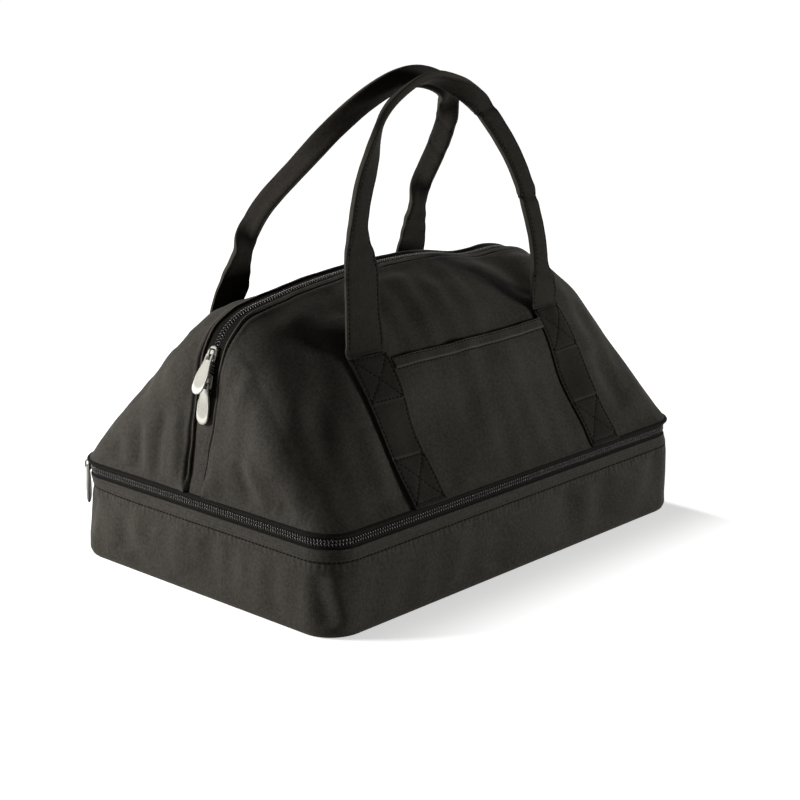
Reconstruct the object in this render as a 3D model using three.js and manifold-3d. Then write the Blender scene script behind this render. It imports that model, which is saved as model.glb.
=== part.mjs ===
// Casserole carrier: an arched soft tote, zipped along its ridge, that is also the lid of the
// insulated dish compartment under it. Millimetres, +Z up. The origin is the middle of the
// base's underside, the pocket faces -Y, and the zip sliders are parked at the -X end.

import * as THREE from 'three';
import { mergeVertices } from 'three/addons/utils/BufferGeometryUtils.js';
import Module from 'manifold-3d';

const { lerp, smoothstep, degToRad } = THREE.MathUtils;

// Dish compartment
const baseLength = 449;
const baseWidth = 307;
const cornerRadius = 30;
const wallTop = 64; // folded top edge of the outer wall
const wallFabric = 2; // outer wall and underside, cloth with its facing
const boardThickness = 2.5; // stiffener under the dish
const foamThickness = 5;
const linerThickness = 1;
const linerHeadroom = 2; // liner's sewn edge below the wall's folded edge
const sewnGap = 0.3; // between layers that lie on each other
const fittedGap = 0.8; // between a tape and the cloth that it is sewn behind

// Zip stock, the same for both zips
const tapeThickness = 1;
const coilWidth = 2.6; // one half of the chain, across the tape
const coilThickness = 2.4;
const coilGap = 1; // between the two halves, where a slider's post runs
const coilSink = 0.4; // outer side of the coil below the cloth that it is set in

// Zip round the compartment
const chainLevel = 76.5; // middle of the closed chain
const tapeOverlap = 4; // tape hidden behind the wall
const zipTurn = degToRad(75); // how far the base's half runs round each back corner
const lidZipStop = 12; // how far short of the back corners the lid's half ends

// Arched upper part
const rimLevel = 83.5; // bottom seam of the upper panels
const ridgeTop = 242.5;
const ridgeRadius = 865;
const shoulderRadius = 51; // where the ridge turns down into the ends
const endLean = degToRad(11.9); // ends lean in as they rise
const stripWidth = 22; // between the two panels, for the placket and the top zip
const panelThickness = 2.5;
const frontBulge = 25; // how far the panel stands out from a straight stretch
const cornerBulge = 7;
const endBulge = 3;
const panelTip = 0.012; // blunt start of the panel at the placket, as a share of its edge
const endShare = 0.22; // share of the panel's edge that lies on each end
const bulgeLift = 1.6; // above 1, the fullest place lies higher up
const liningRise = 0.085; // lining's lower edge, as a share of the panel's height
const placketTop = 166; // top zip starts here
const placketThickness = 1.6;

// Padded divider between the compartments
const dividerFoam = 4;
const dividerBoard = 2;
const dividerLining = 0.8;
const foamInset = 9.5;
const boardInset = 12;

// Straps, pocket and handles
const strapWidth = 38;
const strapThickness = 2.5;
const strapSpacing = 226; // between the middles of the two legs
const strapFoot = 1.5; // leg's lower end above the seam
const strapTop = 192;
const strapSeat = 0.6; // between the sewn strap and the panel
const pocketTop = 186;
const pocketThickness = 1.4;
const hemHeight = 8;
const handleRise = 206;
const handleSquareness = 0.72; // under 1, the loop's shoulders are squarer than a half ellipse's
const handleSway = 1.45; // above 1, the loop leans more towards its top
const gripWidth = 17; // strap folded lengthwise for the hand
const gripThickness = 8;
const gripTilt = degToRad(18); // turn of the strap from its sewn legs to the grip
const foldStart = 40; // the fold begins this far above the legs
const foldEnd = 100;
const gripMeetY = -36; // where the two grips lean together
const gripGap = 3;
const hingeGap = 0.4; // between a sewn leg and the free loop above it

// Sliders and pulls
const sliderLength = 13;
const sliderNose = 11;
const sliderTail = 8;
const platesAbove = 0.9; // outer plate over the coil
const platesBelow = 1.4; // inner plate under the coil
const outerPlate = 1.4;
const innerPlate = 1.2;
const flangeWidth = 0.8;
const flangeGap = 0.4; // between the flange and the tape
const postClearance = 0.2;
const bridgeLength = 8.8;
const bridgeWidth = 2.2;
const bridgeBar = 1.4;
const bridgeLeg = 1.6;
const bridgeRoom = 2.7; // height of the window under the bridge
const pullLength = 34;
const pullWidth = 13;
const pullNeck = 7.4;
const pullThickness = 1.8;
const pullBar = 1.6; // bar that turns in the bridge
const eyeLength = 3.8;
const eyeWidth = 3.8;
const barDrop = 1.4; // bar below the middle of the bridge
const upperSliderAngle = degToRad(22); // round the shoulder, from level
const lowerSliderLevel = 174.5;
const upperPullLean = degToRad(8); // pulls lean out from their sliders
const lowerPullLean = degToRad(-2);
const baseSliderAngle = degToRad(52); // round the back left corner, from the left end

const halfLength = baseLength / 2;
const halfWidth = baseWidth / 2;
const stripHalf = stripWidth / 2;
const coilReach = coilGap / 2 + coilWidth;
const tapeSink = coilSink + (coilThickness - tapeThickness) / 2;
const bareTape = wallFabric + fittedGap;

const wasm = await Module();
wasm.setup();

function toManifold(geometry) {
  const bare = geometry.clone();
  bare.deleteAttribute('normal');
  bare.deleteAttribute('uv');
  const merged = mergeVertices(bare, 1e-4);
  const vertProperties = new Float32Array(merged.attributes.position.array);
  const triVerts = new Uint32Array(merged.index.array);
  return new wasm.Manifold(new wasm.Mesh({ numProp: 3, vertProperties, triVerts }));
}

function fromManifold(solid) {
  const { vertProperties, triVerts } = solid.getMesh();
  const geometry = new THREE.BufferGeometry();
  geometry.setAttribute('position', new THREE.BufferAttribute(vertProperties, 3));
  geometry.setIndex(new THREE.BufferAttribute(triVerts, 1));
  return geometry;
}

function joined(...geometries) {
  return fromManifold(geometries.map(toManifold).reduce((whole, next) => whole.add(next)));
}

function cut(geometry, tool) {
  return fromManifold(toManifold(geometry).subtract(toManifold(tool)));
}

// Closed solid from corner points and triangles, turned so that its faces point out.
function closedSolid(points, triangles) {
  const spans = triangles.map(([a, b, c]) => points[a].dot(points[b].clone().cross(points[c])));
  const outward = spans.reduce((sum, span) => sum + span, 0) > 0;
  const geometry = new THREE.BufferGeometry();
  const corners = points.flatMap((point) => point.toArray());
  geometry.setAttribute('position', new THREE.Float32BufferAttribute(corners, 3));
  geometry.setIndex(triangles.flatMap(([a, b, c]) => (outward ? [a, b, c] : [a, c, b])));
  return geometry;
}

// Skin through a row of closed sections with the same number of points, capped at both ends.
function loft(sections) {
  const count = sections[0].length;
  const points = sections.flat();
  const last = points.length - count;
  const triangles = [];
  for (let start = 0; start < last; start += count) {
    for (let j = 0; j < count; j++) {
      const a = start + j;
      const b = start + ((j + 1) % count);
      triangles.push([a, b, b + count], [a, b + count, a + count]);
    }
  }
  for (let j = 1; j + 1 < count; j++) {
    triangles.push([0, j + 1, j], [last, last + j, last + j + 1]);
  }
  return closedSolid(points, triangles);
}

// Sheet with thickness: a face grid and a back grid of points, closed along their four edges.
function sheet(face, back) {
  const rows = face.length;
  const columns = face[0].length;
  const at = (i, j) => i * columns + j;
  const behind = rows * columns;
  const triangles = [];
  for (let i = 0; i + 1 < rows; i++) {
    for (let j = 0; j + 1 < columns; j++) {
      const [a, b, c, d] = [at(i, j), at(i, j + 1), at(i + 1, j + 1), at(i + 1, j)];
      triangles.push([a, b, c], [a, c, d]);
      triangles.push([behind + a, behind + c, behind + b], [behind + a, behind + d, behind + c]);
    }
  }
  const edge = [];
  for (let j = 0; j + 1 < columns; j++) edge.push(at(0, j));
  for (let i = 0; i + 1 < rows; i++) edge.push(at(i, columns - 1));
  for (let j = columns - 1; j > 0; j--) edge.push(at(rows - 1, j));
  for (let i = rows - 1; i > 0; i--) edge.push(at(i, 0));
  edge.forEach((p, k) => {
    const q = edge[(k + 1) % edge.length];
    triangles.push([q, p, behind + p], [q, behind + p, behind + q]);
  });
  return closedSolid([...face.flat(), ...back.flat()], triangles);
}

// The same piece for the back: mirrored in the mid plane between front and back.
function mirrored(geometry) {
  const copy = geometry.clone();
  copy.scale(1, -1, 1);
  const index = copy.index.array.slice();
  for (let i = 0; i < index.length; i += 3) {
    [index[i + 1], index[i + 2]] = [index[i + 2], index[i + 1]];
  }
  copy.setIndex(new THREE.BufferAttribute(index, 1));
  return copy;
}

function steps(count, from, to) {
  return Array.from({ length: count + 1 }, (_, i) => lerp(from, to, i / count));
}

// Plan outline of the compartment, drawn in by an inset.
function planOutline(inset) {
  const radius = Math.max(cornerRadius - inset, sewnGap);
  const x = halfLength - inset - radius;
  const y = halfWidth - inset - radius;
  const shape = new THREE.Shape();
  shape.absarc(x, y, radius, 0, Math.PI / 2);
  shape.absarc(-x, y, radius, Math.PI / 2, Math.PI);
  shape.absarc(-x, -y, radius, Math.PI, Math.PI * 1.5);
  shape.absarc(x, -y, radius, Math.PI * 1.5, Math.PI * 2);
  return shape;
}

function planSolid(bottom, top, inset, holeInset) {
  const shape = planOutline(inset);
  if (holeInset !== undefined) shape.holes.push(planOutline(holeInset));
  const settings = { depth: top - bottom, bevelEnabled: false, curveSegments: 4 };
  return new THREE.ExtrudeGeometry(shape, settings).translate(0, 0, bottom);
}

// Strip that stands on edge along the three zipped sides, ending round the back corners by
// an angle, or short of them by a distance.
function sideStrip(bottom, top, inset, depth, turn, stop) {
  const x = halfLength - cornerRadius;
  const y = halfWidth - cornerRadius;
  const corners = [
    { x: -x, y: y - stop, from: Math.PI - turn, to: Math.PI },
    { x: -x, y: -y, from: Math.PI, to: Math.PI * 1.5 },
    { x, y: -y, from: Math.PI * 1.5, to: Math.PI * 2 },
    { x, y: y - stop, from: Math.PI * 2, to: Math.PI * 2 + turn },
  ];
  const sections = [];
  for (const corner of corners) {
    const segments = corner.from === corner.to ? 0 : 8;
    for (let i = 0; i <= segments; i++) {
      const angle = segments ? lerp(corner.from, corner.to, i / segments) : corner.from;
      const at = (drawn, z) => new THREE.Vector3(
        corner.x + (cornerRadius - drawn) * Math.cos(angle),
        corner.y + (cornerRadius - drawn) * Math.sin(angle),
        z,
      );
      sections.push([at(inset, bottom), at(inset + depth, bottom), at(inset + depth, top), at(inset, top)]);
    }
  }
  return loft(sections);
}

// Path of the top zip in the mid plane: leaning ends, round shoulders and a long low arch.
const archCentre = ridgeTop - ridgeRadius;

function shoulderCentre() {
  const along = new THREE.Vector2(-Math.sin(endLean), Math.cos(endLean));
  const inward = new THREE.Vector2(-Math.cos(endLean), -Math.sin(endLean));
  const start = new THREE.Vector2(halfLength, rimLevel - archCentre).addScaledVector(inward, shoulderRadius);
  const reach = ridgeRadius - shoulderRadius;
  const rise = Math.sqrt(start.dot(along) ** 2 - start.lengthSq() + reach ** 2) - start.dot(along);
  return start.addScaledVector(along, rise).add(new THREE.Vector2(0, archCentre));
}

const shoulder = shoulderCentre();
const archTurn = Math.atan2(shoulder.x, shoulder.y - archCentre);

function topZipPath() {
  const quarter = Math.PI / 2;
  const path = new THREE.Path();
  path.moveTo(-halfLength, rimLevel);
  path.lineTo(-shoulder.x - shoulderRadius * Math.cos(endLean), shoulder.y + shoulderRadius * Math.sin(endLean));
  path.absarc(-shoulder.x, shoulder.y, shoulderRadius, Math.PI - endLean, quarter + archTurn, true);
  path.absarc(0, archCentre, ridgeRadius, quarter + archTurn, quarter - archTurn, true);
  path.absarc(shoulder.x, shoulder.y, shoulderRadius, quarter - archTurn, endLean, true);
  path.lineTo(halfLength, rimLevel);
  return path;
}

// Seam of the front panel along the compartment, from one placket round to the other.
function frontSeam() {
  const x = halfLength - cornerRadius;
  const y = halfWidth - cornerRadius;
  const path = new THREE.Path();
  path.moveTo(-halfLength, -stripHalf);
  path.lineTo(-halfLength, -y);
  path.absarc(-x, -y, cornerRadius, Math.PI, Math.PI * 1.5);
  path.absarc(x, -y, cornerRadius, Math.PI * 1.5, Math.PI * 2);
  path.lineTo(halfLength, -stripHalf);
  return path;
}

const zipPath = topZipPath();
const seamPath = frontSeam();
const zipLength = zipPath.getLength();
const endRun = (shoulder.y - rimLevel + shoulderRadius * Math.sin(endLean)) / Math.cos(endLean);
const shoulderRun = shoulderRadius * (Math.PI / 2 - archTurn - endLean);
const zipEnd = (endRun + shoulderRun / 2) / zipLength;
const seamEnd = (halfWidth - cornerRadius - stripHalf + (cornerRadius * Math.PI) / 4) / seamPath.getLength();

// Share of a path for a share u of the panel: the ends take endShare of u at each side.
function spread(u, pathEnd) {
  if (u < endShare) return (u / endShare) * pathEnd;
  if (u > 1 - endShare) return 1 - ((1 - u) / endShare) * pathEnd;
  return lerp(pathEnd, 1 - pathEnd, (u - endShare) / (1 - 2 * endShare));
}

function bulgeAt(u) {
  const fromEnd = Math.min(u, 1 - u);
  if (fromEnd < endShare) return lerp(endBulge, cornerBulge, fromEnd / endShare);
  const across = (2 * (fromEnd - endShare)) / (1 - 2 * endShare);
  return lerp(cornerBulge, frontBulge, 1 - (1 - across) ** 4);
}

function straightLine(u) {
  const zip = zipPath.getPoint(spread(u, zipEnd));
  const seam = seamPath.getPoint(spread(u, seamEnd));
  return {
    top: new THREE.Vector3(zip.x, -stripHalf, zip.y),
    foot: new THREE.Vector3(seam.x, seam.y, rimLevel),
  };
}

// Front panel's outer face: straight lines from its seam to the zip, filled out by a swell.
function panelFace(u, v) {
  const { top, foot } = straightLine(u);
  const nudge = 1e-3;
  const before = straightLine(Math.max(u - nudge, 0));
  const after = straightLine(Math.min(u + nudge, 1));
  const along = after.top.add(after.foot).sub(before.top.add(before.foot));
  const swell = along.cross(top.clone().sub(foot)).normalize();
  const height = bulgeAt(u) * Math.sin(Math.PI * v ** bulgeLift);
  return foot.lerp(top, v).addScaledVector(swell, height);
}

function panelNormal(u, v) {
  const nudge = 2e-3;
  const low = Math.max(v - nudge, 0);
  const high = Math.min(v + nudge, 1);
  const left = Math.max(u - nudge, panelTip / 2);
  const right = Math.min(u + nudge, 1 - panelTip / 2);
  const along = panelFace(right, v).sub(panelFace(left, v));
  const rise = panelFace(u, high).sub(panelFace(u, low));
  return along.cross(rise).normalize();
}

// Point at a depth under the panel's face. Below it the edges are trimmed at seam and zip.
function panelPoint(u, v, depth) {
  const point = panelFace(u, v).addScaledVector(panelNormal(u, v), -depth);
  if (depth > 0) {
    point.z = Math.max(point.z, rimLevel);
    point.y = Math.min(point.y, -stripHalf);
  }
  return point;
}

const panelRows = steps(10, 0, 1);

function panelSolid(from, to, columns, rows) {
  const grid = (depth) => columns.map((u) => rows.map((v) => panelPoint(u, v, depth)));
  return sheet(grid(from), grid(to));
}

// Share u of the panel at which its face passes a given x at height share v.
function shareAt(x, v) {
  let [low, high] = [endShare / 2, 1 - endShare / 2];
  for (let i = 0; i < 40; i++) {
    const middle = (low + high) / 2;
    if (panelFace(middle, v).x < x) low = middle;
    else high = middle;
  }
  return (low + high) / 2;
}

// Height share v at which the panel's face reaches a level at a given x.
function riseTo(level, x) {
  let [low, high] = [0, 1];
  for (let i = 0; i < 40; i++) {
    const middle = (low + high) / 2;
    if (panelFace(shareAt(x, middle), middle).z < level) low = middle;
    else high = middle;
  }
  return (low + high) / 2;
}

// Piece sewn on the front panel between two x and two levels, at a height over its face.
function applied(x0, x1, columns, bottom, top, rows, over, thickness) {
  const places = steps(columns, x0, x1).map((x) => {
    const heights = steps(rows, riseTo(bottom, x), riseTo(top, x));
    return heights.map((v) => [shareAt(x, v), v]);
  });
  const grid = (height) => places.map((column) => column.map(([u, v]) => panelPoint(u, v, -height)));
  return sheet(grid(over + thickness), grid(over));
}

// Shares along the top zip's path, closer together on the round shoulders.
function zipShares(from, to) {
  const runs = [endRun, shoulderRun, zipLength - 2 * (endRun + shoulderRun), shoulderRun, endRun];
  const pieces = [1, 8, 12, 8, 1];
  const shares = [];
  let start = 0;
  runs.forEach((run, k) => {
    steps(pieces[k], start, start + run).slice(0, -1).forEach((length) => shares.push(length / zipLength));
    start += run;
  });
  return [from, ...shares.filter((t) => t > from && t < to), to];
}

// Ribbon that follows the top zip's path, between two y and two depths under the cloth.
function ridgeRibbon(from, to, y0, y1, depth0, depth1) {
  const sections = zipShares(from, to).map((t) => {
    const point = zipPath.getPoint(t);
    const tangent = zipPath.getTangent(t);
    const at = (y, depth) => new THREE.Vector3(point.x + tangent.y * depth, y, point.y - tangent.x * depth);
    return [at(y0, depth0), at(y1, depth0), at(y1, depth1), at(y0, depth1)];
  });
  return loft(sections);
}

const zipStart = (placketTop - rimLevel) / Math.cos(endLean) / zipLength;
const placketEnd = zipStart - sewnGap / zipLength;

// Free loop of a carrying strap: flat at its sewn ends, turned and folded lengthwise into a grip.
function handleLoop(seatY, seatZ, topY) {
  const span = strapSpacing / 2;
  const centre = (turn) => {
    const rise = Math.sin(turn) ** handleSquareness;
    const y = lerp(seatY, topY, rise ** handleSway);
    return new THREE.Vector3(-span * Math.cos(turn), y, seatZ + handleRise * rise);
  };
  const stations = 36;
  const sections = steps(stations, 0, 1).map((share) => {
    const turn = (Math.PI * (1 - Math.cos(Math.PI * share))) / 2;
    const middle = centre(turn);
    const nudge = 1e-3;
    const tangent = centre(Math.min(turn + nudge, Math.PI)).sub(centre(Math.max(turn - nudge, 0))).normalize();
    const across = new THREE.Vector3(0, 1, 0).addScaledVector(tangent, -tangent.y).normalize();
    const inward = across.clone().cross(tangent);
    const fold = smoothstep(middle.z - seatZ, foldStart, foldEnd);
    const twist = fold * gripTilt;
    const wide = inward.clone().multiplyScalar(-Math.cos(twist)).addScaledVector(across, Math.sin(twist));
    const thick = tangent.clone().cross(wide);
    const halfWide = lerp(strapWidth, gripWidth, fold) / 2;
    const halfThick = lerp(strapThickness, gripThickness, fold) / 2;
    const round = Math.min(halfThick, halfWide) * 0.9;
    const rim = [];
    for (const [sx, sy] of [[1, 1], [-1, 1], [-1, -1], [1, -1]]) {
      const turns = sx * sy > 0 ? [0, 0.5, 1] : [1, 0.5, 0];
      for (const part of turns) {
        const angle = (part * Math.PI) / 2;
        const w = sx * (halfWide - round + round * Math.cos(angle));
        const h = sy * (halfThick - round + round * Math.sin(angle));
        rim.push(middle.clone().addScaledVector(wide, w).addScaledVector(thick, h));
      }
    }
    return rim;
  });
  return loft(sections);
}

// Slider in its own frame: it travels along Z with its nose up, and its outer side faces -X.
// The zip's cloth level is x = 0.
const outerFace = coilSink - platesAbove;
const innerFace = coilSink + coilThickness + platesBelow;

function sliderPlate(from, thickness) {
  const half = sliderLength / 2;
  const round = sliderTail / 4;
  const shape = new THREE.Shape();
  shape.moveTo(-sliderTail / 2, -half + round);
  shape.quadraticCurveTo(-sliderTail / 2, -half, -sliderTail / 2 + round, -half);
  shape.lineTo(sliderTail / 2 - round, -half);
  shape.quadraticCurveTo(sliderTail / 2, -half, sliderTail / 2, -half + round);
  shape.lineTo(sliderNose / 2, half / 3);
  shape.quadraticCurveTo(sliderNose / 2, half, sliderNose / 4, half);
  shape.lineTo(-sliderNose / 4, half);
  shape.quadraticCurveTo(-sliderNose / 2, half, -sliderNose / 2, half / 3);
  const settings = { depth: thickness, bevelEnabled: false, curveSegments: 3 };
  return new THREE.ExtrudeGeometry(shape, settings).rotateY(Math.PI / 2).rotateX(Math.PI / 2).translate(from, 0, 0);
}

function sliderShell() {
  const half = sliderLength / 2;
  const postHalf = coilGap / 2 - postClearance;
  const post = new THREE.BoxGeometry(innerFace - outerFace + outerPlate, 2 * postHalf, sliderLength / 4);
  post.translate((innerFace + outerFace) / 2, 0, half - sliderLength / 5);
  const flangeDepth = tapeSink - flangeGap - outerFace;
  const flanges = [-1, 1].map((side) => {
    const flange = new THREE.BoxGeometry(flangeDepth + outerPlate / 2, flangeWidth, sliderLength / 2);
    const x = tapeSink - flangeGap - (flangeDepth + outerPlate / 2) / 2;
    return flange.translate(x, (side * (sliderTail - flangeWidth)) / 2, -sliderLength / 8);
  });
  const plates = [sliderPlate(outerFace - outerPlate, outerPlate), sliderPlate(innerFace, innerPlate)];
  return joined(...plates, post, ...flanges);
}

// Bridge that holds the pull: two legs and a bar, along Z.
function sliderBridge() {
  const half = bridgeLength / 2;
  const shape = new THREE.Shape();
  const foot = -outerPlate / 2;
  const top = bridgeRoom + bridgeBar;
  shape.moveTo(-half, foot);
  shape.lineTo(-half + bridgeLeg, foot);
  shape.lineTo(-half + bridgeLeg, bridgeRoom);
  shape.lineTo(half - bridgeLeg, bridgeRoom);
  shape.lineTo(half - bridgeLeg, foot);
  shape.lineTo(half, foot);
  shape.lineTo(half, top - bridgeBar / 2);
  shape.quadraticCurveTo(half, top, half - bridgeBar, top);
  shape.lineTo(-half + bridgeBar, top);
  shape.quadraticCurveTo(-half, top, -half, top - bridgeBar / 2);
  const settings = { depth: bridgeWidth, bevelEnabled: false, curveSegments: 3 };
  const bridge = new THREE.ExtrudeGeometry(shape, settings).translate(0, 0, -bridgeWidth / 2);
  return bridge.rotateZ(Math.PI / 2).rotateX(Math.PI / 2).translate(outerFace - outerPlate, 0, 0);
}

// Teardrop pull that hangs from its bar at the origin, with an eye for the bridge's leg.
function pullTab() {
  const end = pullWidth / 2;
  const neck = pullNeck / 2;
  const top = pullBar / 2;
  const bottom = top - pullLength;
  const taper = -top - eyeLength - pullBar;
  const shape = new THREE.Shape();
  shape.moveTo(neck, top - pullBar);
  shape.quadraticCurveTo(neck, top, neck - pullBar, top);
  shape.lineTo(-neck + pullBar, top);
  shape.quadraticCurveTo(-neck, top, -neck, top - pullBar);
  shape.lineTo(-neck, taper);
  shape.absarc(0, bottom + end, end, Math.PI, Math.PI * 2);
  shape.lineTo(neck, taper);
  const eye = new THREE.Path();
  eye.moveTo(-eyeWidth / 2, -top);
  eye.lineTo(-eyeWidth / 2, -top - eyeLength);
  eye.lineTo(eyeWidth / 2, -top - eyeLength);
  eye.lineTo(eyeWidth / 2, -top);
  shape.holes.push(eye);
  const settings = { depth: pullThickness, bevelEnabled: false, curveSegments: 5 };
  const tab = new THREE.ExtrudeGeometry(shape, settings).translate(0, 0, -pullThickness / 2);
  return tab.rotateY(Math.PI / 2).rotateX(Math.PI / 2);
}

const finishes = {
  cloth: { color: 0x35332f, roughness: 0.7, metalness: 0 },
  strap: { color: 0x2b2a27, roughness: 0.75, metalness: 0 },
  tape: { color: 0x191917, roughness: 0.85, metalness: 0 },
  coil: { color: 0x121212, roughness: 0.4, metalness: 0 },
  lining: { color: 0xb9babb, roughness: 0.35, metalness: 0 },
  foam: { color: 0xe6e4de, roughness: 0.95, metalness: 0 },
  board: { color: 0x2a2a2a, roughness: 0.6, metalness: 0 },
  metal: { color: 0xc9c9c6, roughness: 0.25, metalness: 1 },
};

function piece(name, geometry, finish) {
  const mesh = new THREE.Mesh(geometry, new THREE.MeshStandardMaterial(finishes[finish]));
  mesh.name = name;
  mesh.geometry.computeVertexNormals();
  return mesh;
}

function dishCompartment() {
  const group = new THREE.Group();
  const boardFloor = wallFabric + sewnGap;
  const foamFloor = boardFloor + boardThickness + sewnGap;
  const linerFloor = foamFloor + foamThickness + sewnGap;
  const foamSide = wallFabric + sewnGap;
  const linerSide = foamSide + foamThickness + sewnGap;
  const foamTop = wallTop - tapeOverlap - sewnGap;
  const linerTop = wallTop - linerHeadroom;
  const liner = cut(
    planSolid(linerFloor, linerTop, linerSide),
    planSolid(linerFloor + linerThickness, linerTop + linerThickness, linerSide + linerThickness),
  );
  const coilLow = chainLevel - coilReach;
  const hingeHalf = halfLength - cornerRadius;
  const hingeTop = chainLevel;
  const hingeFoot = wallTop - tapeOverlap;
  const hinge = new THREE.BoxGeometry(2 * hingeHalf, tapeThickness, hingeTop - hingeFoot);
  hinge.translate(0, halfWidth - bareTape - tapeThickness / 2, (hingeTop + hingeFoot) / 2);
  const coilInset = bareTape - (coilThickness - tapeThickness) / 2;
  group.add(
    piece('base_bottom_panel', planSolid(0, wallFabric, 0), 'cloth'),
    piece('base_stiffener_board', planSolid(boardFloor, boardFloor + boardThickness, foamSide), 'board'),
    piece('base_floor_foam', planSolid(foamFloor, foamFloor + foamThickness, foamSide), 'foam'),
    piece('base_wall', planSolid(wallFabric + sewnGap, wallTop, 0, wallFabric), 'cloth'),
    piece('base_wall_foam', planSolid(linerFloor, foamTop, foamSide, foamSide + foamThickness), 'foam'),
    piece('base_liner', liner, 'lining'),
    piece('base_zip_tape', sideStrip(hingeFoot, coilLow - sewnGap, bareTape, tapeThickness, zipTurn, 0), 'tape'),
    piece('base_zip_coil', sideStrip(coilLow, coilLow + coilWidth, coilInset, coilThickness, zipTurn, 0), 'coil'),
    piece('hinge_strip_lower', hinge, 'cloth'),
  );
  return group;
}

function lidFloor() {
  const group = new THREE.Group();
  const coilTop = chainLevel + coilReach;
  const coilInset = bareTape - (coilThickness - tapeThickness) / 2;
  const tapeTop = rimLevel - sewnGap;
  const tape = sideStrip(coilTop + sewnGap, tapeTop, bareTape, tapeThickness, 0, lidZipStop);
  const coil = sideStrip(coilTop - coilWidth, coilTop, coilInset, coilThickness, 0, lidZipStop);
  const hingeFoot = chainLevel + 2 * sewnGap;
  const hinge = new THREE.BoxGeometry(baseLength - 2 * cornerRadius, tapeThickness, tapeTop - hingeFoot);
  hinge.translate(0, halfWidth - bareTape - tapeThickness / 2, (tapeTop + hingeFoot) / 2);
  const liningFoot = rimLevel + sewnGap;
  const foamFoot = liningFoot + dividerLining + sewnGap;
  const boardFoot = foamFoot + dividerFoam + sewnGap;
  group.add(
    piece('lid_zip_tape', tape, 'tape'),
    piece('lid_zip_coil', coil, 'coil'),
    piece('hinge_strip_upper', hinge, 'cloth'),
    piece('divider_lining', planSolid(liningFoot, liningFoot + dividerLining, panelThickness + 3 * fittedGap), 'lining'),
    piece('divider_foam', planSolid(foamFoot, foamFoot + dividerFoam, foamInset), 'foam'),
    piece('divider_board', planSolid(boardFoot, boardFoot + dividerBoard, boardInset), 'board'),
  );
  return group;
}

function archedPanels() {
  const group = new THREE.Group();
  const columns = steps(36, panelTip, 1 - panelTip);
  const liningColumns = columns.slice(2, -2).filter((_, i) => i % 2 === 0);
  const liningRows = [liningRise, ...panelRows.slice(1)];
  const panel = panelSolid(0, panelThickness, columns, panelRows);
  const liningDepth = panelThickness + sewnGap;
  const lining = panelSolid(liningDepth, liningDepth + linerThickness, liningColumns, liningRows);
  const edge = stripHalf - sewnGap;
  const tape = ridgeRibbon(zipStart, 1 - zipStart, -edge, -coilReach - sewnGap, tapeSink, tapeSink + tapeThickness);
  const coil = ridgeRibbon(zipStart, 1 - zipStart, -coilReach, -coilGap / 2, coilSink, coilSink + coilThickness);
  group.add(
    piece('front_panel', panel, 'cloth'),
    piece('back_panel', mirrored(panel), 'cloth'),
    piece('front_panel_lining', lining, 'lining'),
    piece('back_panel_lining', mirrored(lining), 'lining'),
    piece('left_placket', ridgeRibbon(0, placketEnd, -edge, edge, 0, placketThickness), 'cloth'),
    piece('right_placket', ridgeRibbon(1 - placketEnd, 1, -edge, edge, 0, placketThickness), 'cloth'),
    piece('top_zip_front_tape', tape, 'tape'),
    piece('top_zip_back_tape', mirrored(tape), 'tape'),
    piece('top_zip_front_coil', coil, 'coil'),
    piece('top_zip_back_coil', mirrored(coil), 'coil'),
  );
  return group;
}

function strapsAndPocket() {
  const group = new THREE.Group();
  const middle = strapSpacing / 2;
  for (const [side, x] of [['left', -middle], ['right', middle]]) {
    const from = x - strapWidth / 2;
    const leg = applied(from, from + strapWidth, 3, rimLevel + strapFoot, strapTop, 10, strapSeat, strapThickness);
    group.add(piece(`front_${side}_strap`, leg, 'strap'));
    group.add(piece(`back_${side}_strap`, mirrored(leg), 'strap'));
  }
  const half = middle - strapWidth / 2 - sewnGap;
  const foot = rimLevel + strapFoot;
  const hemOver = fittedGap + pocketThickness + sewnGap;
  const pocket = applied(-half, half, 12, foot, pocketTop, 9, fittedGap, pocketThickness);
  const hem = applied(-half, half, 12, pocketTop - hemHeight, pocketTop, 1, hemOver, pocketThickness);
  group.add(piece('pocket_panel', pocket, 'cloth'), piece('pocket_hem', hem, 'cloth'));
  return group;
}

function handles() {
  const group = new THREE.Group();
  const middle = strapSpacing / 2;
  const v = riseTo(strapTop, middle);
  const legTop = panelPoint(shareAt(middle, v), v, -(strapSeat + strapThickness));
  const seatY = legTop.y + strapThickness / 2;
  const seatZ = legTop.z + hingeGap;
  const apart = (gripWidth + gripGap) / 2;
  const front = handleLoop(seatY, seatZ, gripMeetY - apart);
  const back = mirrored(handleLoop(seatY, seatZ, -(gripMeetY + apart)));
  group.add(piece('front_handle', front, 'strap'), piece('back_handle', back, 'strap'));
  return group;
}

// Slider with its pull. The shell may lie across the bridge, so that the pull hangs from a level zip.
function sliderWithPull(name, shellTurn, lean) {
  const group = new THREE.Group();
  const shell = sliderShell().rotateX(shellTurn);
  const pull = piece(`${name}_pull`, pullTab(), 'metal');
  pull.position.set(outerFace - outerPlate - bridgeRoom / 2, 0, -barDrop);
  pull.rotation.y = lean;
  group.add(piece(name, joined(shell, sliderBridge()), 'metal'), pull);
  return group;
}

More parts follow.
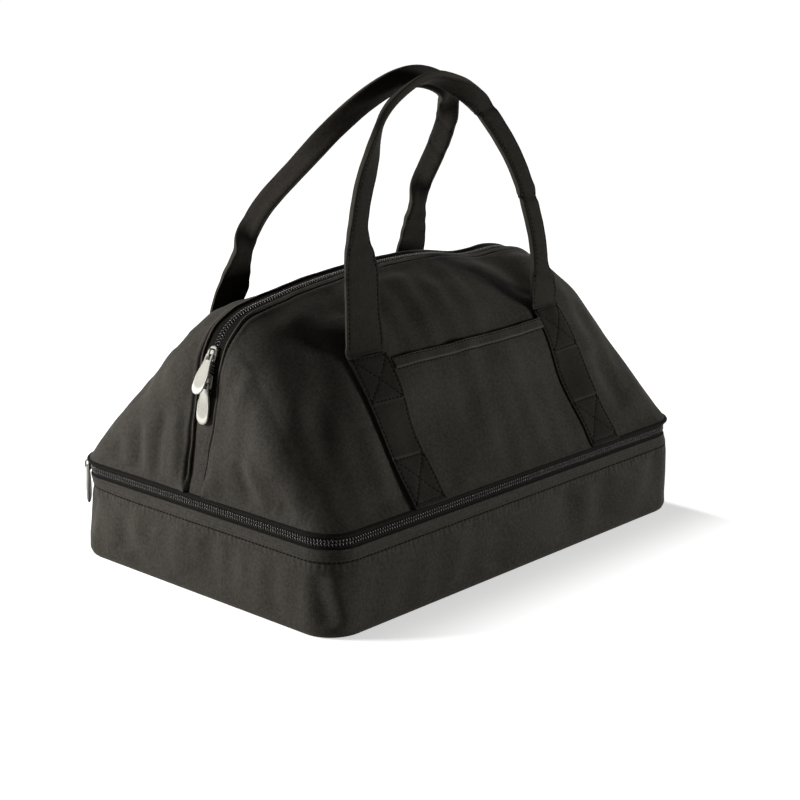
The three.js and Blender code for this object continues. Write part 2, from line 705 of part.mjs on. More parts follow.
function sliders() {
  const group = new THREE.Group();
  const upper = sliderWithPull('upper_slider', Math.PI, upperPullLean);
  upper.position.set(
    -shoulder.x - shoulderRadius * Math.cos(upperSliderAngle),
    0,
    shoulder.y + shoulderRadius * Math.sin(upperSliderAngle),
  );
  upper.rotation.y = upperSliderAngle;
  const lower = sliderWithPull('lower_slider', 0, lowerPullLean);
  lower.position.set(-halfLength + (lowerSliderLevel - rimLevel) * Math.tan(endLean), 0, lowerSliderLevel);
  lower.rotation.y = endLean;
  const base = sliderWithPull('base_slider', Math.PI / 2, 0);
  const run = cornerRadius - bareTape + tapeSink;
  base.position.set(
    -halfLength + cornerRadius - run * Math.cos(baseSliderAngle),
    halfWidth - cornerRadius + run * Math.sin(baseSliderAngle),
    chainLevel,
  );
  base.rotation.z = -baseSliderAngle;
  group.add(upper, lower, base);
  return group;
}

const carrier = new THREE.Group();
carrier.add(dishCompartment(), lidFloor(), archedPanels(), strapsAndPocket(), handles(), sliders());

export default carrier;
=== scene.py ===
"""Casserole carrier: a soft arched tote, zipped along its ridge, that is also the hinged lid of an
insulated dish compartment. Sizes are in millimetres; meshes are written in metres."""

import logging
import math
from dataclasses import dataclass, field, replace
from enum import Enum
from functools import partial
from typing import Any, Callable, Sequence

import bpy
import numpy as np
from mathutils import Matrix


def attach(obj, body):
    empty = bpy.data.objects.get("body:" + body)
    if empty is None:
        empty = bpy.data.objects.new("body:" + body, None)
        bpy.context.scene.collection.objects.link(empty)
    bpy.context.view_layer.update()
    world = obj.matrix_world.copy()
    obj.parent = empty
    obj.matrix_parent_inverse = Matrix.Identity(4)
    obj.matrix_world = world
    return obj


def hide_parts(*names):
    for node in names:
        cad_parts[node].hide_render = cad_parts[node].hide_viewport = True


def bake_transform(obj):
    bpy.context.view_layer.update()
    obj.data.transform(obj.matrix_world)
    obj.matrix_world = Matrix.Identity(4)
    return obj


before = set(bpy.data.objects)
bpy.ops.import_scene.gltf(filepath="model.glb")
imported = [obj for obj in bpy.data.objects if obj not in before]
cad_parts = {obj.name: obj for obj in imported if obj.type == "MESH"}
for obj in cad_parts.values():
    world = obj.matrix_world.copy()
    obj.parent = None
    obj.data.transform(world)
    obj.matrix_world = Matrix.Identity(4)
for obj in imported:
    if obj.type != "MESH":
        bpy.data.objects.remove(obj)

Array = np.ndarray
Pair = tuple[float, float]
Point = tuple[float, float, float]
AddNode = Callable[..., bpy.types.bpy_prop_collection]
MM = 0.001
FULL_TURN = 2.0 * math.pi
ACROSS = np.array([0.0, 1.0, 0.0])
UP = np.array([0.0, 0.0, 1.0])
LOG = logging.getLogger("casserole_carrier")


class Body(str, Enum):
    """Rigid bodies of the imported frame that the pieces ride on."""

    BASE = "base"
    LID = "lid"
    FRONT_HANDLE = "front_handle"
    BACK_HANDLE = "back_handle"
    UPPER_SLIDER = "upper_slider"
    UPPER_PULL = "upper_pull"
    LOWER_SLIDER = "lower_slider"
    LOWER_PULL = "lower_pull"
    BASE_SLIDER = "base_slider"
    BASE_PULL = "base_pull"


class Slot(str, Enum):
    """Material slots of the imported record."""

    CLOTH = "cloth"
    STRAP = "strap"
    LINING = "lining"
    FOAM = "foam"
    ZIP_TAPE = "zip_tape"
    ZIP_COIL = "zip_coil"
    ZIP_METAL = "zip_metal"


class Side(Enum):
    """Front or back half of the tote, as the sign of its y."""

    FRONT = -1
    BACK = 1

    @property
    def word(self) -> str:
        """Word for the side in the names of pieces."""
        return self.name.lower()

    @property
    def mirror(self) -> Array:
        """Factors that take a point of the front to this side."""
        return np.array([1.0, -self.value, 1.0])


# Numbers and arrays


def unit(vectors: Array) -> Array:
    """Scale vectors along the last axis to length one."""
    return vectors / np.maximum(np.linalg.norm(vectors, axis=-1, keepdims=True), 1e-9)


def ease(value: Array, low: float, high: float) -> Array:
    """Smooth step from 0 at low to 1 at high, by the cubic 3t^2 - 2t^3."""
    t = np.clip((value - low) / (high - low), 0.0, 1.0)
    return t * t * (3.0 - 2.0 * t)


def bell(distance: Array, width: float) -> Array:
    """Bell of a distance: 1 in the middle and about a third at the width."""
    return np.exp(-((distance / width) ** 2))


def bells(value: Array, rows: Sequence[Point]) -> Array:
    """Sum of bells along one axis, each given as its height, place and width."""
    return sum(height * bell(value - place, width) for height, place, width in rows)


def signed_power(value: Array, power: Array | float) -> Array:
    """Raise the size of a number to a power and keep its sign."""
    return np.sign(value) * np.abs(value) ** power


def turned(a: Array, b: Array, angle: float) -> tuple[Array, Array]:
    """Turn pairs of coordinates by an angle, from the first axis towards the second."""
    c, s = math.cos(angle), math.sin(angle)
    return a * c - b * s, a * s + b * c


def rounded_ring(half_wide: float, half_high: float, power: float, count: int) -> Array:
    """Section of a strap or bar: a superellipse with these half sizes.

    Args:
        half_wide: half of its width.
        half_high: half of its thickness.
        power: 1 is an ellipse, and nearer 0 is nearer to a rectangle.
        count: points round it.

    Returns:
        Points of the section, count by 2.
    """
    angle = np.linspace(0.0, FULL_TURN, count, endpoint=False) + math.pi / count
    wide = half_wide * signed_power(np.cos(angle), power)
    high = half_high * signed_power(np.sin(angle), power)
    return np.stack([wide, high], -1)


def thin_section(face: Array, back: Pair) -> Array:
    """Closed section of a thin strip: its face, and the same line moved back, the other way round."""
    return np.concatenate([face, (face + np.array(back))[::-1]])


def run_along(line: Array) -> Array:
    """Length from a polyline's start to each of its points."""
    return np.concatenate([[0.0], np.cumsum(np.linalg.norm(np.diff(line, axis=0), axis=1))])


def along_line(line: Array, values: Array, at: Array) -> Array:
    """Read vectors along a polyline at lengths from its start, by linear steps.

    Args:
        line: points of the polyline, which give the lengths.
        values: one vector for each point.
        at: lengths to read at, in any shape.

    Returns:
        Vectors in the shape of at, with one more axis.
    """
    run = run_along(line)
    return np.stack([np.interp(at, run, values[:, k]) for k in range(values.shape[1])], -1)


def smooth_path(knots: Array, count: int) -> Array:
    """Smooth line through a few points: cubic pieces over the chords, with slopes from the neighbours.

    Args:
        knots: the points, count by 3.
        count: points of the line, evenly spaced over the chords.

    Returns:
        Points of the line.
    """
    run = run_along(knots)
    slope = np.gradient(knots, run, axis=0)
    at = np.linspace(0.0, run[-1], count)
    k = np.clip(np.searchsorted(run, at, side="right") - 1, 0, len(run) - 2)
    step = (run[k + 1] - run[k])[:, None]
    t = (at - run[k])[:, None] / step
    low = knots[k] * (1.0 + 2.0 * t) * (1.0 - t) ** 2 + slope[k] * step * t * (1.0 - t) ** 2
    return low + knots[k + 1] * t**2 * (3.0 - 2.0 * t) + slope[k + 1] * step * t**2 * (t - 1.0)


@dataclass(frozen=True)
class Waves:
    """Slow unevenness of loose cloth: a sum of plane waves in fixed seeded directions."""

    seed: int
    height: float  # about the highest wave
    short: float  # shortest wavelength
    long: float
    stretch: float = 1.0  # factor on z, below 1 where the waves run down the cloth
    count: int = 9

    def at(self, points: Array, shift: int = 0) -> Array:
        """Heights of the cloth: the sines' sum, over the square root of their count.

        Args:
            points: places in space, with any leading axes.
            shift: added to the seed, so that two panels differ.

        Returns:
            One height for each point.
        """
        rng = np.random.default_rng(self.seed + shift)
        turns = unit(rng.normal(size=(self.count, 3))) / rng.uniform(self.short, self.long, (self.count, 1))
        phase = rng.uniform(0.0, FULL_TURN, self.count)
        places = points * np.array([1.0, 1.0, self.stretch])
        waves = np.sin(FULL_TURN * (places @ turns.T) + phase)
        return self.height * waves.sum(-1) / math.sqrt(self.count)


@dataclass(frozen=True)
class Fold:
    """Soft fold in cloth: a ridge, or a valley where its height is below 0, along a straight line.

    The relief is the height times a bell of the distance from the line, and fades out at its ends.
    """

    start: Point
    end: Point
    width: float
    height: float


def fold_relief(points: Array, folds: Sequence[Fold]) -> Array:
    """Add up the relief of all folds.

    Args:
        points: places in space, with any leading axes.
        folds: the folds.

    Returns:
        One height for each point.
    """
    start = np.array([fold.start for fold in folds])
    reach = np.array([fold.end for fold in folds]) - start
    flat = points.reshape(-1, 1, 3) - start
    share = np.clip((flat * reach).sum(-1) / (reach**2).sum(-1), 0.0, 1.0)
    distance = np.linalg.norm(flat - share[..., None] * reach, axis=-1)
    width = np.array([fold.width for fold in folds])
    height = np.array([fold.height for fold in folds]) * (1.0 - (2.0 * share - 1.0) ** 4)
    return (height * bell(distance, width)).sum(-1).reshape(points.shape[:-1])


# Meshes


@dataclass
class Patch:
    """Grid of points that becomes quads, or a stack of equal grids."""

    points: Array  # stack by rows by columns by 3, or rows by columns by 3
    ring_rows: bool = False  # the last row joins the first
    ring_columns: bool = False
    cap: bool = False  # the first and the last row are closed with a face each
    flip: bool = False  # turn an open grid's faces round; closed ones are turned by their volume
    uv: Array | None = None  # own surface coordinates, or else the mean runs of the grid
    rub: Array | None = None  # how much each point is painted paler, from 0 to 1: along edges, and as painted highlight on lips and ridges
    drawn: Array | None = None  # how much it is drawn up by a seam's stitches, from 0 to 1

    def __post_init__(self) -> None:
        """Give a single grid the axis of a stack."""
        if self.points.ndim == 3:
            self.points = self.points[None]

    def corners(self) -> tuple[Array, Array]:
        """Quads of one grid as point numbers, and the grid places of their corners.

        Returns:
            Point numbers, count by 4, and rows and columns before wrapping, count by 4 by 2.
        """
        rows, columns = self.points.shape[1:3]
        i = np.arange(rows if self.ring_rows else rows - 1)
        j = np.arange(columns if self.ring_columns else columns - 1)
        i, j = np.meshgrid(i, j, indexing="ij")
        place = np.stack([np.stack([i, i, i + 1, i + 1], -1), np.stack([j, j + 1, j + 1, j], -1)], -1)
        place = place.reshape(-1, 4, 2)
        return (place[..., 0] % rows) * columns + place[..., 1] % columns, place

    def surface_uv(self) -> Array:
        """Surface coordinates at each grid place: the mean runs down and across, unless they are given.

        Returns:
            Coordinates, rows by columns by 2, with one row or column more where the grid closes.
        """
        if self.uv is not None:
            return self.uv
        grid = self.points[0]
        if self.ring_rows:
            grid = np.concatenate([grid, grid[:1]], 0)
        if self.ring_columns:
            grid = np.concatenate([grid, grid[:, :1]], 1)
        down = np.linalg.norm(np.diff(grid, axis=0), axis=-1).mean(1)
        over = np.linalg.norm(np.diff(grid, axis=1), axis=-1).mean(0)
        runs = [np.concatenate([[0.0], np.cumsum(step)]) for step in (down, over)]
        return np.stack(np.meshgrid(*runs, indexing="ij"), -1)

    def mark(self, name: str) -> Array:
        """One value for each point of the mark called rub or drawn, 0 where it isn't given."""
        values = getattr(self, name)
        return np.zeros(self.points[..., 0].size) if values is None else values.ravel()

    def outward(self, quads: Array) -> bool:
        """Tell whether a closed grid's faces point out, by the sign of the volume they hold.

        Args:
            quads: point numbers of the faces, count by 4.

        Returns:
            Whether the volume is above 0.
        """
        p = self.points[0].reshape(-1, 3)
        p = p - p.mean(0)
        a, b, c, d = (p[quads[:, k]] for k in range(4))
        volume = (a * np.cross(b, c)).sum() + (a * np.cross(c, d)).sum()
        return bool(volume > 0)

    def polygons(self) -> tuple[list[Array], Array]:
        """Faces of the whole stack, and one pair of coordinates for each of their corners.

        Returns:
            Arrays of faces with equal corner counts, and the coordinates in the same order.
        """
        stack, rows, columns = self.points.shape[:3]
        quads, place = self.corners()
        uv = self.surface_uv()[place[..., 0], place[..., 1]]
        closed = self.ring_columns and (self.ring_rows or self.cap)
        turn = not self.outward(quads) if closed else self.flip
        if turn:
            quads, uv = quads[:, ::-1], uv[:, ::-1]
        shift = np.arange(stack)[:, None, None] * rows * columns
        faces = [(quads[None] + shift).reshape(-1, 4)]
        pairs = [np.tile(uv.reshape(-1, 2), (stack, 1))]
        if self.cap:
            first = np.arange(columns)[::-1]
            ends = np.stack([first, first[::-1] + (rows - 1) * columns])
            if turn:
                ends = ends[:, ::-1]
            faces.append((ends[None] + shift).reshape(-1, columns))
            pairs.append(np.zeros((2 * stack * columns, 2)))
        return faces, np.concatenate(pairs)


@dataclass(frozen=True)
class Bend:
    """Cloth across a joint: the two bodies it lies between, and a point before and one after the joint."""

    first: Body
    second: Body
    start: Point
    end: Point


def make_piece(
    name: str,
    patches: Sequence[Patch],
    material: bpy.types.Material,
    body: Body | Bend,
    nodes: Sequence[str] = (),
    crease: float | None = None,
) -> bpy.types.Object:
    """Write patches into one mesh object at the origin, and tie it to its body; a piece across a joint is
    tied to no body.

    Args:
        name: the piece's name.
        patches: its grids, in millimetres.
        material: its finish.
        body: the body that it rides on, or the joint that it lies across; such a piece is left in place, tied
            to no body.
        nodes: solids of the frame that it stands for.
        crease: angle in degrees above which an edge is left sharp.

    Returns:
        The new object.
    """
    points = np.concatenate([patch.points.reshape(-1, 3) for patch in patches]) * MM
    loops, totals, uvs, start = [], [], [], 0
    for patch in patches:
        faces, uv = patch.polygons()
        for block in faces:
            loops.append((block + start).ravel())
            totals.append(np.full(len(block), block.shape[1]))
        uvs.append(uv)
        start += patch.points[..., 0].size
    loop_points = np.concatenate(loops).astype(np.int32)
    total = np.concatenate(totals)
    first_loops = np.concatenate([[0], np.cumsum(total)[:-1]]).astype(np.int32)
    mesh = bpy.data.meshes.new(name)
    mesh.vertices.add(len(points))
    mesh.vertices.foreach_set("co", points.astype(np.float32).ravel())
    mesh.loops.add(len(loop_points))
    mesh.loops.foreach_set("vertex_index", loop_points)
    mesh.polygons.add(len(total))
    mesh.polygons.foreach_set("loop_start", first_loops)
    mesh.polygons.foreach_set("use_smooth", np.ones(len(total), bool))
    layer = mesh.uv_layers.new(name="surface")
    layer.data.foreach_set("uv", (np.concatenate(uvs) * MM).astype(np.float32).ravel())
    for mark in ("rub", "drawn"):
        values = np.concatenate([patch.mark(mark) for patch in patches]).astype(np.float32)
        mesh.attributes.new(mark, "FLOAT", "POINT").data.foreach_set("value", values)
    mesh.update(calc_edges=True)
    if crease is not None:
        mesh.set_sharp_from_angle(angle=math.radians(crease))
    piece = bpy.data.objects.new(name, mesh)
    bpy.context.scene.collection.objects.link(piece)
    mesh.materials.append(material)
    if isinstance(body, Bend):
        start, end = ([c * MM for c in point] for point in (body.start, body.end))
        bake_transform(piece)
    else:
        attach(piece, body.value)
    if nodes:
        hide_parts(*nodes)
    LOG.info("%s: %d faces", name, len(total))
    return piece


def swept(path: Array, across: Array, up: Array, profile: Array, ring: bool = False) -> Patch:
    """Carry a closed profile along a path: point = path + across * profile x + up * profile y.

    Args:
        path: points of the path, count by 3.
        across: first direction of the profile, one for all or one for each point.
        up: second direction of the profile, likewise.
        profile: closed section, count by 2.
        ring: the path closes on itself.

    Returns:
        A closed patch with the path along its rows.
    """
    across, up = (np.broadcast_to(way, path.shape)[:, None] for way in (across, up))
    points = path[:, None] + across * profile[None, :, :1] + up * profile[None, :, 1:]
    return Patch(points, ring_rows=ring, ring_columns=True, cap=not ring)


@dataclass(frozen=True)
class Coil:
    """One half of a zip's chain: a wire wound round a path on an ellipse, once for each pitch."""

    half_high: float
    half_wide: float = 1.35
    pitch: float = 2.7  # real ones are about half as long; drawn so that the turns show
    wire: float = 0.45
    steps: int = 9

    def wind(self, path: Array, across: Array, up: Array) -> Patch:
        """Wind the wire along a path.

        The wire's middle is path + across * half_wide * cos(a) + up * half_high * sin(a), where a is
        2 pi times the run over the pitch, and its own section is a pentagon.

        Args:
            path: finely stepped middle line, count by 3.
            across: direction across the tape, one for all or one for each point.
            up: direction out of the tape, likewise.

        Returns:
            A capped tube.
        """
        length = run_along(path)[-1]
        turns = max(int(length / self.pitch), 1)
        at = np.linspace(0.0, length, turns * self.steps)
        angle = FULL_TURN * at / length * turns
        ways = (np.broadcast_to(way, path.shape) for way in (path, across, up))
        middle, side, out = (along_line(path, way, at) for way in ways)
        line = middle + side * (self.half_wide * np.cos(angle))[:, None]
        line = line + out * (self.half_high * np.sin(angle))[:, None]
        forward = unit(np.gradient(line, axis=0))
        first = unit(np.cross(forward, np.cross(side, out)))
        return swept(line, first, np.cross(forward, first), rounded_ring(self.wire, self.wire, 1.0, 5))


@dataclass(frozen=True)
class Sewing:
    """Row of lockstitches, as they lie on cloth."""

    pitch: float = 3.9
    length: float = 2.7
    half_wide: float = 0.6
    half_high: float = 0.38

    def row(self, line: Array, normal: Array) -> Patch:
        """Lay stitches along a line: short rounded bars, thinner towards their ends.

        Each bar's radius is the square root of 1 - t^2 of a share t of its length.

        Args:
            line: points of the sewn line, count by 3.
            normal: directions out of the cloth, count by 3.

        Returns:
            A stack of closed bars.
        """
        length = np.linalg.norm(np.diff(line, axis=0), axis=1).sum()
        count = max(int(length / self.pitch), 1)
        share = np.array([-1.0, -0.7, 0.0, 0.7, 1.0])
        at = (np.arange(count)[:, None] + 0.5) * length / count + share * self.length / 2.0
        at = np.clip(at, 0.0, length)
        middle = along_line(line, line, at)
        out = unit(along_line(line, normal, at))
        forward = unit(along_line(line, np.gradient(line, axis=0), at))
        side = np.cross(forward, out)
        radius = np.sqrt(1.0 - (0.96 * share) ** 2)[None, :, None, None]
        ring = rounded_ring(self.half_wide, self.half_high, 1.0, 6)
        bar = side[:, :, None] * ring[:, :1] + out[:, :, None] * ring[:, 1:]
        return Patch(middle[:, :, None] + radius * bar, ring_columns=True, cap=True)


SEAM = Sewing()
BASE_COIL = Coil(1.15)
RIDGE_COIL = Coil(1.0)


# Finishes


def linear(code: str) -> tuple[float, float, float, float]:
    """Turn an sRGB hex colour into linear light.

    Args:
        code: the colour, such as #808080.

    Returns:
        Red, green, blue and alpha.
    """
    values = [int(code[k : k + 2], 16) / 255.0 for k in (1, 3, 5)]
    red, green, blue = (v / 12.92 if v <= 0.04045 else ((v + 0.055) / 1.055) ** 2.4 for v in values)
    return red, green, blue, 1.0


def add_node(
    tree: bpy.types.NodeTree,
    kind: str,
    values: dict[Any, Any] | None = None,
    links: dict[Any, bpy.types.NodeSocket] | None = None,
) -> bpy.types.bpy_prop_collection:
    """Add a node with its settings and links.

    Args:
        tree: the material's node tree.
        kind: the node's type, without the ShaderNode that all begin with.
        values: settings of the node by attribute name, or values of its inputs by name or number.
        links: sockets that feed its inputs, by name or number.

    Returns:
        The new node's outputs.
    """
    node = tree.nodes.new("ShaderNode" + kind)
    for key, value in (values or {}).items():
        if isinstance(key, str) and hasattr(node, key):
            setattr(node, key, value)
        else:
            node.inputs[key].default_value = value
    for key, socket in (links or {}).items():
        tree.links.new(socket, node.inputs[key])
    return node.outputs


def new_material(name: str) -> tuple[bpy.types.Material, AddNode]:
    """Make an empty node material.

    Args:
        name: the material's name.

    Returns:
        The material, and add_node for its tree.
    """
    material = bpy.data.materials.new(name)
    material.use_nodes = True
    material.node_tree.nodes.clear()
    return material, partial(add_node, material.node_tree)


def seen_directly(add: AddNode) -> bpy.types.NodeSocket:
    """Tell what the eye sees, itself or in metal and glass, from what only lights something.

    Args:
        add: add_node for the tree.

    Returns:
        A socket that is 1 for what the eye sees, and else 0.
    """
    rays = add("LightPath")
    seen = {0: rays["Is Camera Ray"], 1: rays["Is Glossy Ray"]}
    seen = add("Math", {"operation": "ADD"}, seen)[0]
    seen = {0: seen, 1: rays["Is Transmission Ray"]}
    return add("Math", {"operation": "ADD", "use_clamp": True}, seen)[0]


@dataclass(frozen=True)
class WovenFinish:
    """Woven polyester: fine crossing threads with a soft satin bloom at grazing light.

    The threads read as a faint even grain, the dye is slightly mottled, marked places are painted
    paler along folded edges and as painted highlights on raised lips and ridges, and small gathers
    cross the seams that are drawn up. Sizes are in millimetres.
    """

    name: str
    dark: str
    pale: str
    # colour that marked places are mixed towards: paler edges, and painted highlights on lips and ridges
    wear_and_highlight_colour: str
    thread: float  # real threads lie about 0.3 mm apart; drawn this coarse so that they show
    roughness: float
    sheen: float
    sheen_tint: str
    specular: float = 0.012
    slack: float = 0.2  # height of the small unevenness between the threads
    relief: float = 0.11  # height of the threads and their lint
    mottle: float = 70.0  # across a cloud in the dye
    lint: float = 2.4  # across a tuft of lint
    bulge: float = 6.0  # across one place of the small unevenness
    gather: float = 5.2  # between the small gathers along a drawn-up seam
    gather_height: float = 0.3
    gather_drift: float = 17.0  # over which the gathers' spacing wanders
    ior: float = 1.5
    band_scale: float = 0.31416  # at this scale the wave texture has one band in each unit

    def build(self) -> bpy.types.Material:
        """Make the material.

        The dye's share is the clouds and lint with a little of the weave, and the relief is three
        bumps on each other: gathers along the seams, slack between the threads, and the threads.

        Returns:
            The material.
        """
        material, add = new_material(self.name)
        place = add("TexCoord")
        turns = 1.0 / (self.thread * MM)
        threads = add("Mapping", {"Scale": (turns, turns, turns)}, {0: place["UV"]})[0]
        wave = {"wave_type": "BANDS", "Scale": self.band_scale, "Distortion": 0.6, "Detail": 1.0}
        warp, weft = (add("TexWave", wave | {"bands_direction": way}, {0: threads})["Fac"] for way in "XY")
        weave = add("Math", {"operation": "MULTIPLY"}, {0: warp, 1: weft})[0]
        noises = []
        sizes = ((self.mottle, 4.0, 0.55), (self.lint, 3.0, 0.65))
        for size, detail, rough in (*sizes, (self.gather_drift, 1.0, 0.5), (self.bulge, 1.0, 0.5)):
            noise = {"Scale": 1.0 / (size * MM), "Detail": detail, "Roughness": rough}
            noises.append(add("TexNoise", noise, {0: place["Object"]})["Fac"])
        clouds, fuzz, drift, uneven = noises
        share = add("Math", {"operation": "MULTIPLY_ADD", 1: 0.4}, {0: clouds, 2: fuzz})[0]
        share = add("Math", {"operation": "MULTIPLY_ADD", 1: 0.2}, {0: weave, 2: share})[0]
        share = add("MapRange", {"From Min": 0.42, "From Max": 1.08}, {"Value": share})[0]
        dyes = {"data_type": "RGBA", 6: linear(self.dark), 7: linear(self.pale)}
        dyed = add("Mix", dyes, {0: share})[2]
        # Marked places are mixed towards the paler colour: along edges, and as painted highlight on lips and
        # ridges.
        rub = add("Attribute", {"attribute_name": "rub"})["Fac"]
        paled = add("Mix", {"data_type": "RGBA", 7: linear(self.wear_and_highlight_colour)}, {0: rub, 6: dyed})[2]
        gloss = {"To Min": self.roughness - 0.06, "To Max": self.roughness + 0.08}
        gloss = add("MapRange", gloss, {"Value": clouds})[0]
        threads = add("Math", {"operation": "MULTIPLY_ADD", 1: 0.5}, {0: fuzz, 2: weave})[0]
        run = add("SeparateXYZ", {}, {0: place["UV"]})["X"]
        drift = add("Math", {"operation": "MULTIPLY", 1: 9.0}, {0: drift})[0]
        turn = {"operation": "MULTIPLY_ADD", 1: FULL_TURN / (self.gather * MM)}
        gathers = add("Math", turn, {0: run, 2: drift})[0]
        gathers = add("Math", {"operation": "SINE"}, {0: gathers})[0]
        drawn = add("Attribute", {"attribute_name": "drawn"})["Fac"]
        gathers = add("Math", {"operation": "MULTIPLY"}, {0: gathers, 1: drawn})[0]
        under = {}
        bumps = ((0.5, self.gather_height, gathers), (1.0, self.slack, uneven), (0.55, self.relief, threads))
        for strength, high, height in bumps:
            bump = {"Strength": strength, "Distance": high * MM}
            under = {"Normal": add("Bump", bump, {"Height": height} | under)[0]}
        even = {"Sheen Weight": self.sheen, "Sheen Roughness": 0.42, "Sheen Tint": linear(self.sheen_tint)}
        even |= {"Specular IOR Level": self.specular, "IOR": self.ior}
        varied = {"Base Color": paled, "Roughness": gloss} | under
        surface = add("BsdfPrincipled", even, varied)["BSDF"]
        add("OutputMaterial", {}, {"Surface": surface})
        return material


@dataclass(frozen=True)
class GrainedFinish:
    """Moulded plastic, foam, lining film or plated metal: one noise gives colour, gloss and relief.

    Rims that are marked are mixed towards a paler colour, partly polish and partly painted highlight,
    and film is crossed by the rounded cells of its crinkles. Sizes are in millimetres.
    """

    name: str
    dark: str
    pale: str
    grain: float  # across one grain, pore, cloud or tumbling mark
    gloss: Pair  # lowest and highest roughness
    relief: float
    even: tuple[tuple[str, float], ...] = (("Specular IOR Level", 0.5), ("IOR", 1.5))
    detail: float = 3.0
    strength: float = 0.6
    # paler colour of marked rims: partly polish, partly painted highlight
    rim_polish_and_highlight: str = ""
    crinkle: float = 0.0  # between crinkles

    def build(self) -> bpy.types.Material:
        """Make the material.

        Returns:
            The material.
        """
        material, add = new_material(self.name)
        place = add("TexCoord")["Object"]
        grains = {"Scale": 1.0 / (self.grain * MM), "Detail": self.detail}
        grains = add("TexNoise", grains, {0: place})["Fac"]
        tones = {"data_type": "RGBA", 6: linear(self.dark), 7: linear(self.pale)}
        colour = add("Mix", tones, {0: grains})[2]
        if self.rim_polish_and_highlight:
            # Marked rims are painted paler: partly polish, partly painted highlight.
            rub = add("Attribute", {"attribute_name": "rub"})["Fac"]
            rim_mix = {"data_type": "RGBA", 7: linear(self.rim_polish_and_highlight)}
            colour = add("Mix", rim_mix, {0: rub, 6: colour})[2]
        gloss = {"To Min": self.gloss[0], "To Max": self.gloss[1]}
        gloss = add("MapRange", gloss, {"Value": grains})[0]
        height = grains
        if self.crinkle:
            cells = {"feature": "SMOOTH_F1", "Scale": 1.0 / (self.crinkle * MM), "Smoothness": 0.6}
            cells = add("TexVoronoi", cells, {"Vector": place})["Distance"]
            height = add("Math", {"operation": "MULTIPLY_ADD", 1: 0.6}, {0: cells, 2: grains})[0]
        relief = {"Strength": self.strength, "Distance": self.relief * MM}
        normal = add("Bump", relief, {"Height": height})[0]
        varied = {"Base Color": colour, "Roughness": gloss, "Normal": normal}
        surface = add("BsdfPrincipled", dict(self.even), varied)["BSDF"]
        add("OutputMaterial", {}, {"Surface": surface})
        return material


@dataclass(frozen=True)
class FloorFinish:
    """Seamless white paper: it shows white to the eye and keeps the object's shadow, with a painted shadow
    round the object's foot.
    """

    name: str
    paper: str
    glow: float  # light that the paper itself gives back to the eye, far from the object
    painted_shade: float  # painted shadow: how much less of the glow there is at the object's foot
    reach: float  # metres over which that fades out before the front
    foot: Pair  # half sizes of the object's foot, in metres
    hurry: float = 7.0  # how many times faster the painted shadow fades past the ends

    def build(self) -> bpy.types.Material:
        """Make the material: diffuse paper, with a glow that is dimmed at the foot as a painted shadow, which
        fades by the distance from the foot.

        Returns:
            The material.
        """
        material, add = new_material(self.name)
        place = add("TexCoord")["Object"]
        away = add("VectorMath", {"operation": "ABSOLUTE"}, {0: place})[0]
        steps = {"SUBTRACT": (*self.foot, 1.0), "MAXIMUM": (0.0, 0.0, 0.0)}
        steps["MULTIPLY"] = (self.hurry, 1.0, 1.0)
        for operation, by in steps.items():
            away = add("VectorMath", {"operation": operation, 1: by}, {0: away})[0]
        away = add("VectorMath", {"operation": "LENGTH"}, {0: away})["Value"]
        # Painted shadow: the glow is dimmed near the foot and comes back to full over the reach.
        fade = {"interpolation_type": "SMOOTHSTEP", "From Max": self.reach, "To Min": 1.0, "To Max": 0.0}
        near = add("MapRange", fade, {"Value": away})[0]
        level = {"operation": "MULTIPLY_ADD", 1: -self.painted_shade, 2: self.glow}
        level = add("Math", level, {0: near})[0]
        strength = {0: seen_directly(add), 1: level}
        strength = add("Math", {"operation": "MULTIPLY"}, strength)[0]
        paper = add("BsdfDiffuse", {"Color": linear(self.paper)})[0]
        glow = add("Emission", {}, {"Strength": strength})[0]
        surface = add("AddShader", {}, {0: paper, 1: glow})[0]
        add("OutputMaterial", {}, {"Surface": surface})
        return material


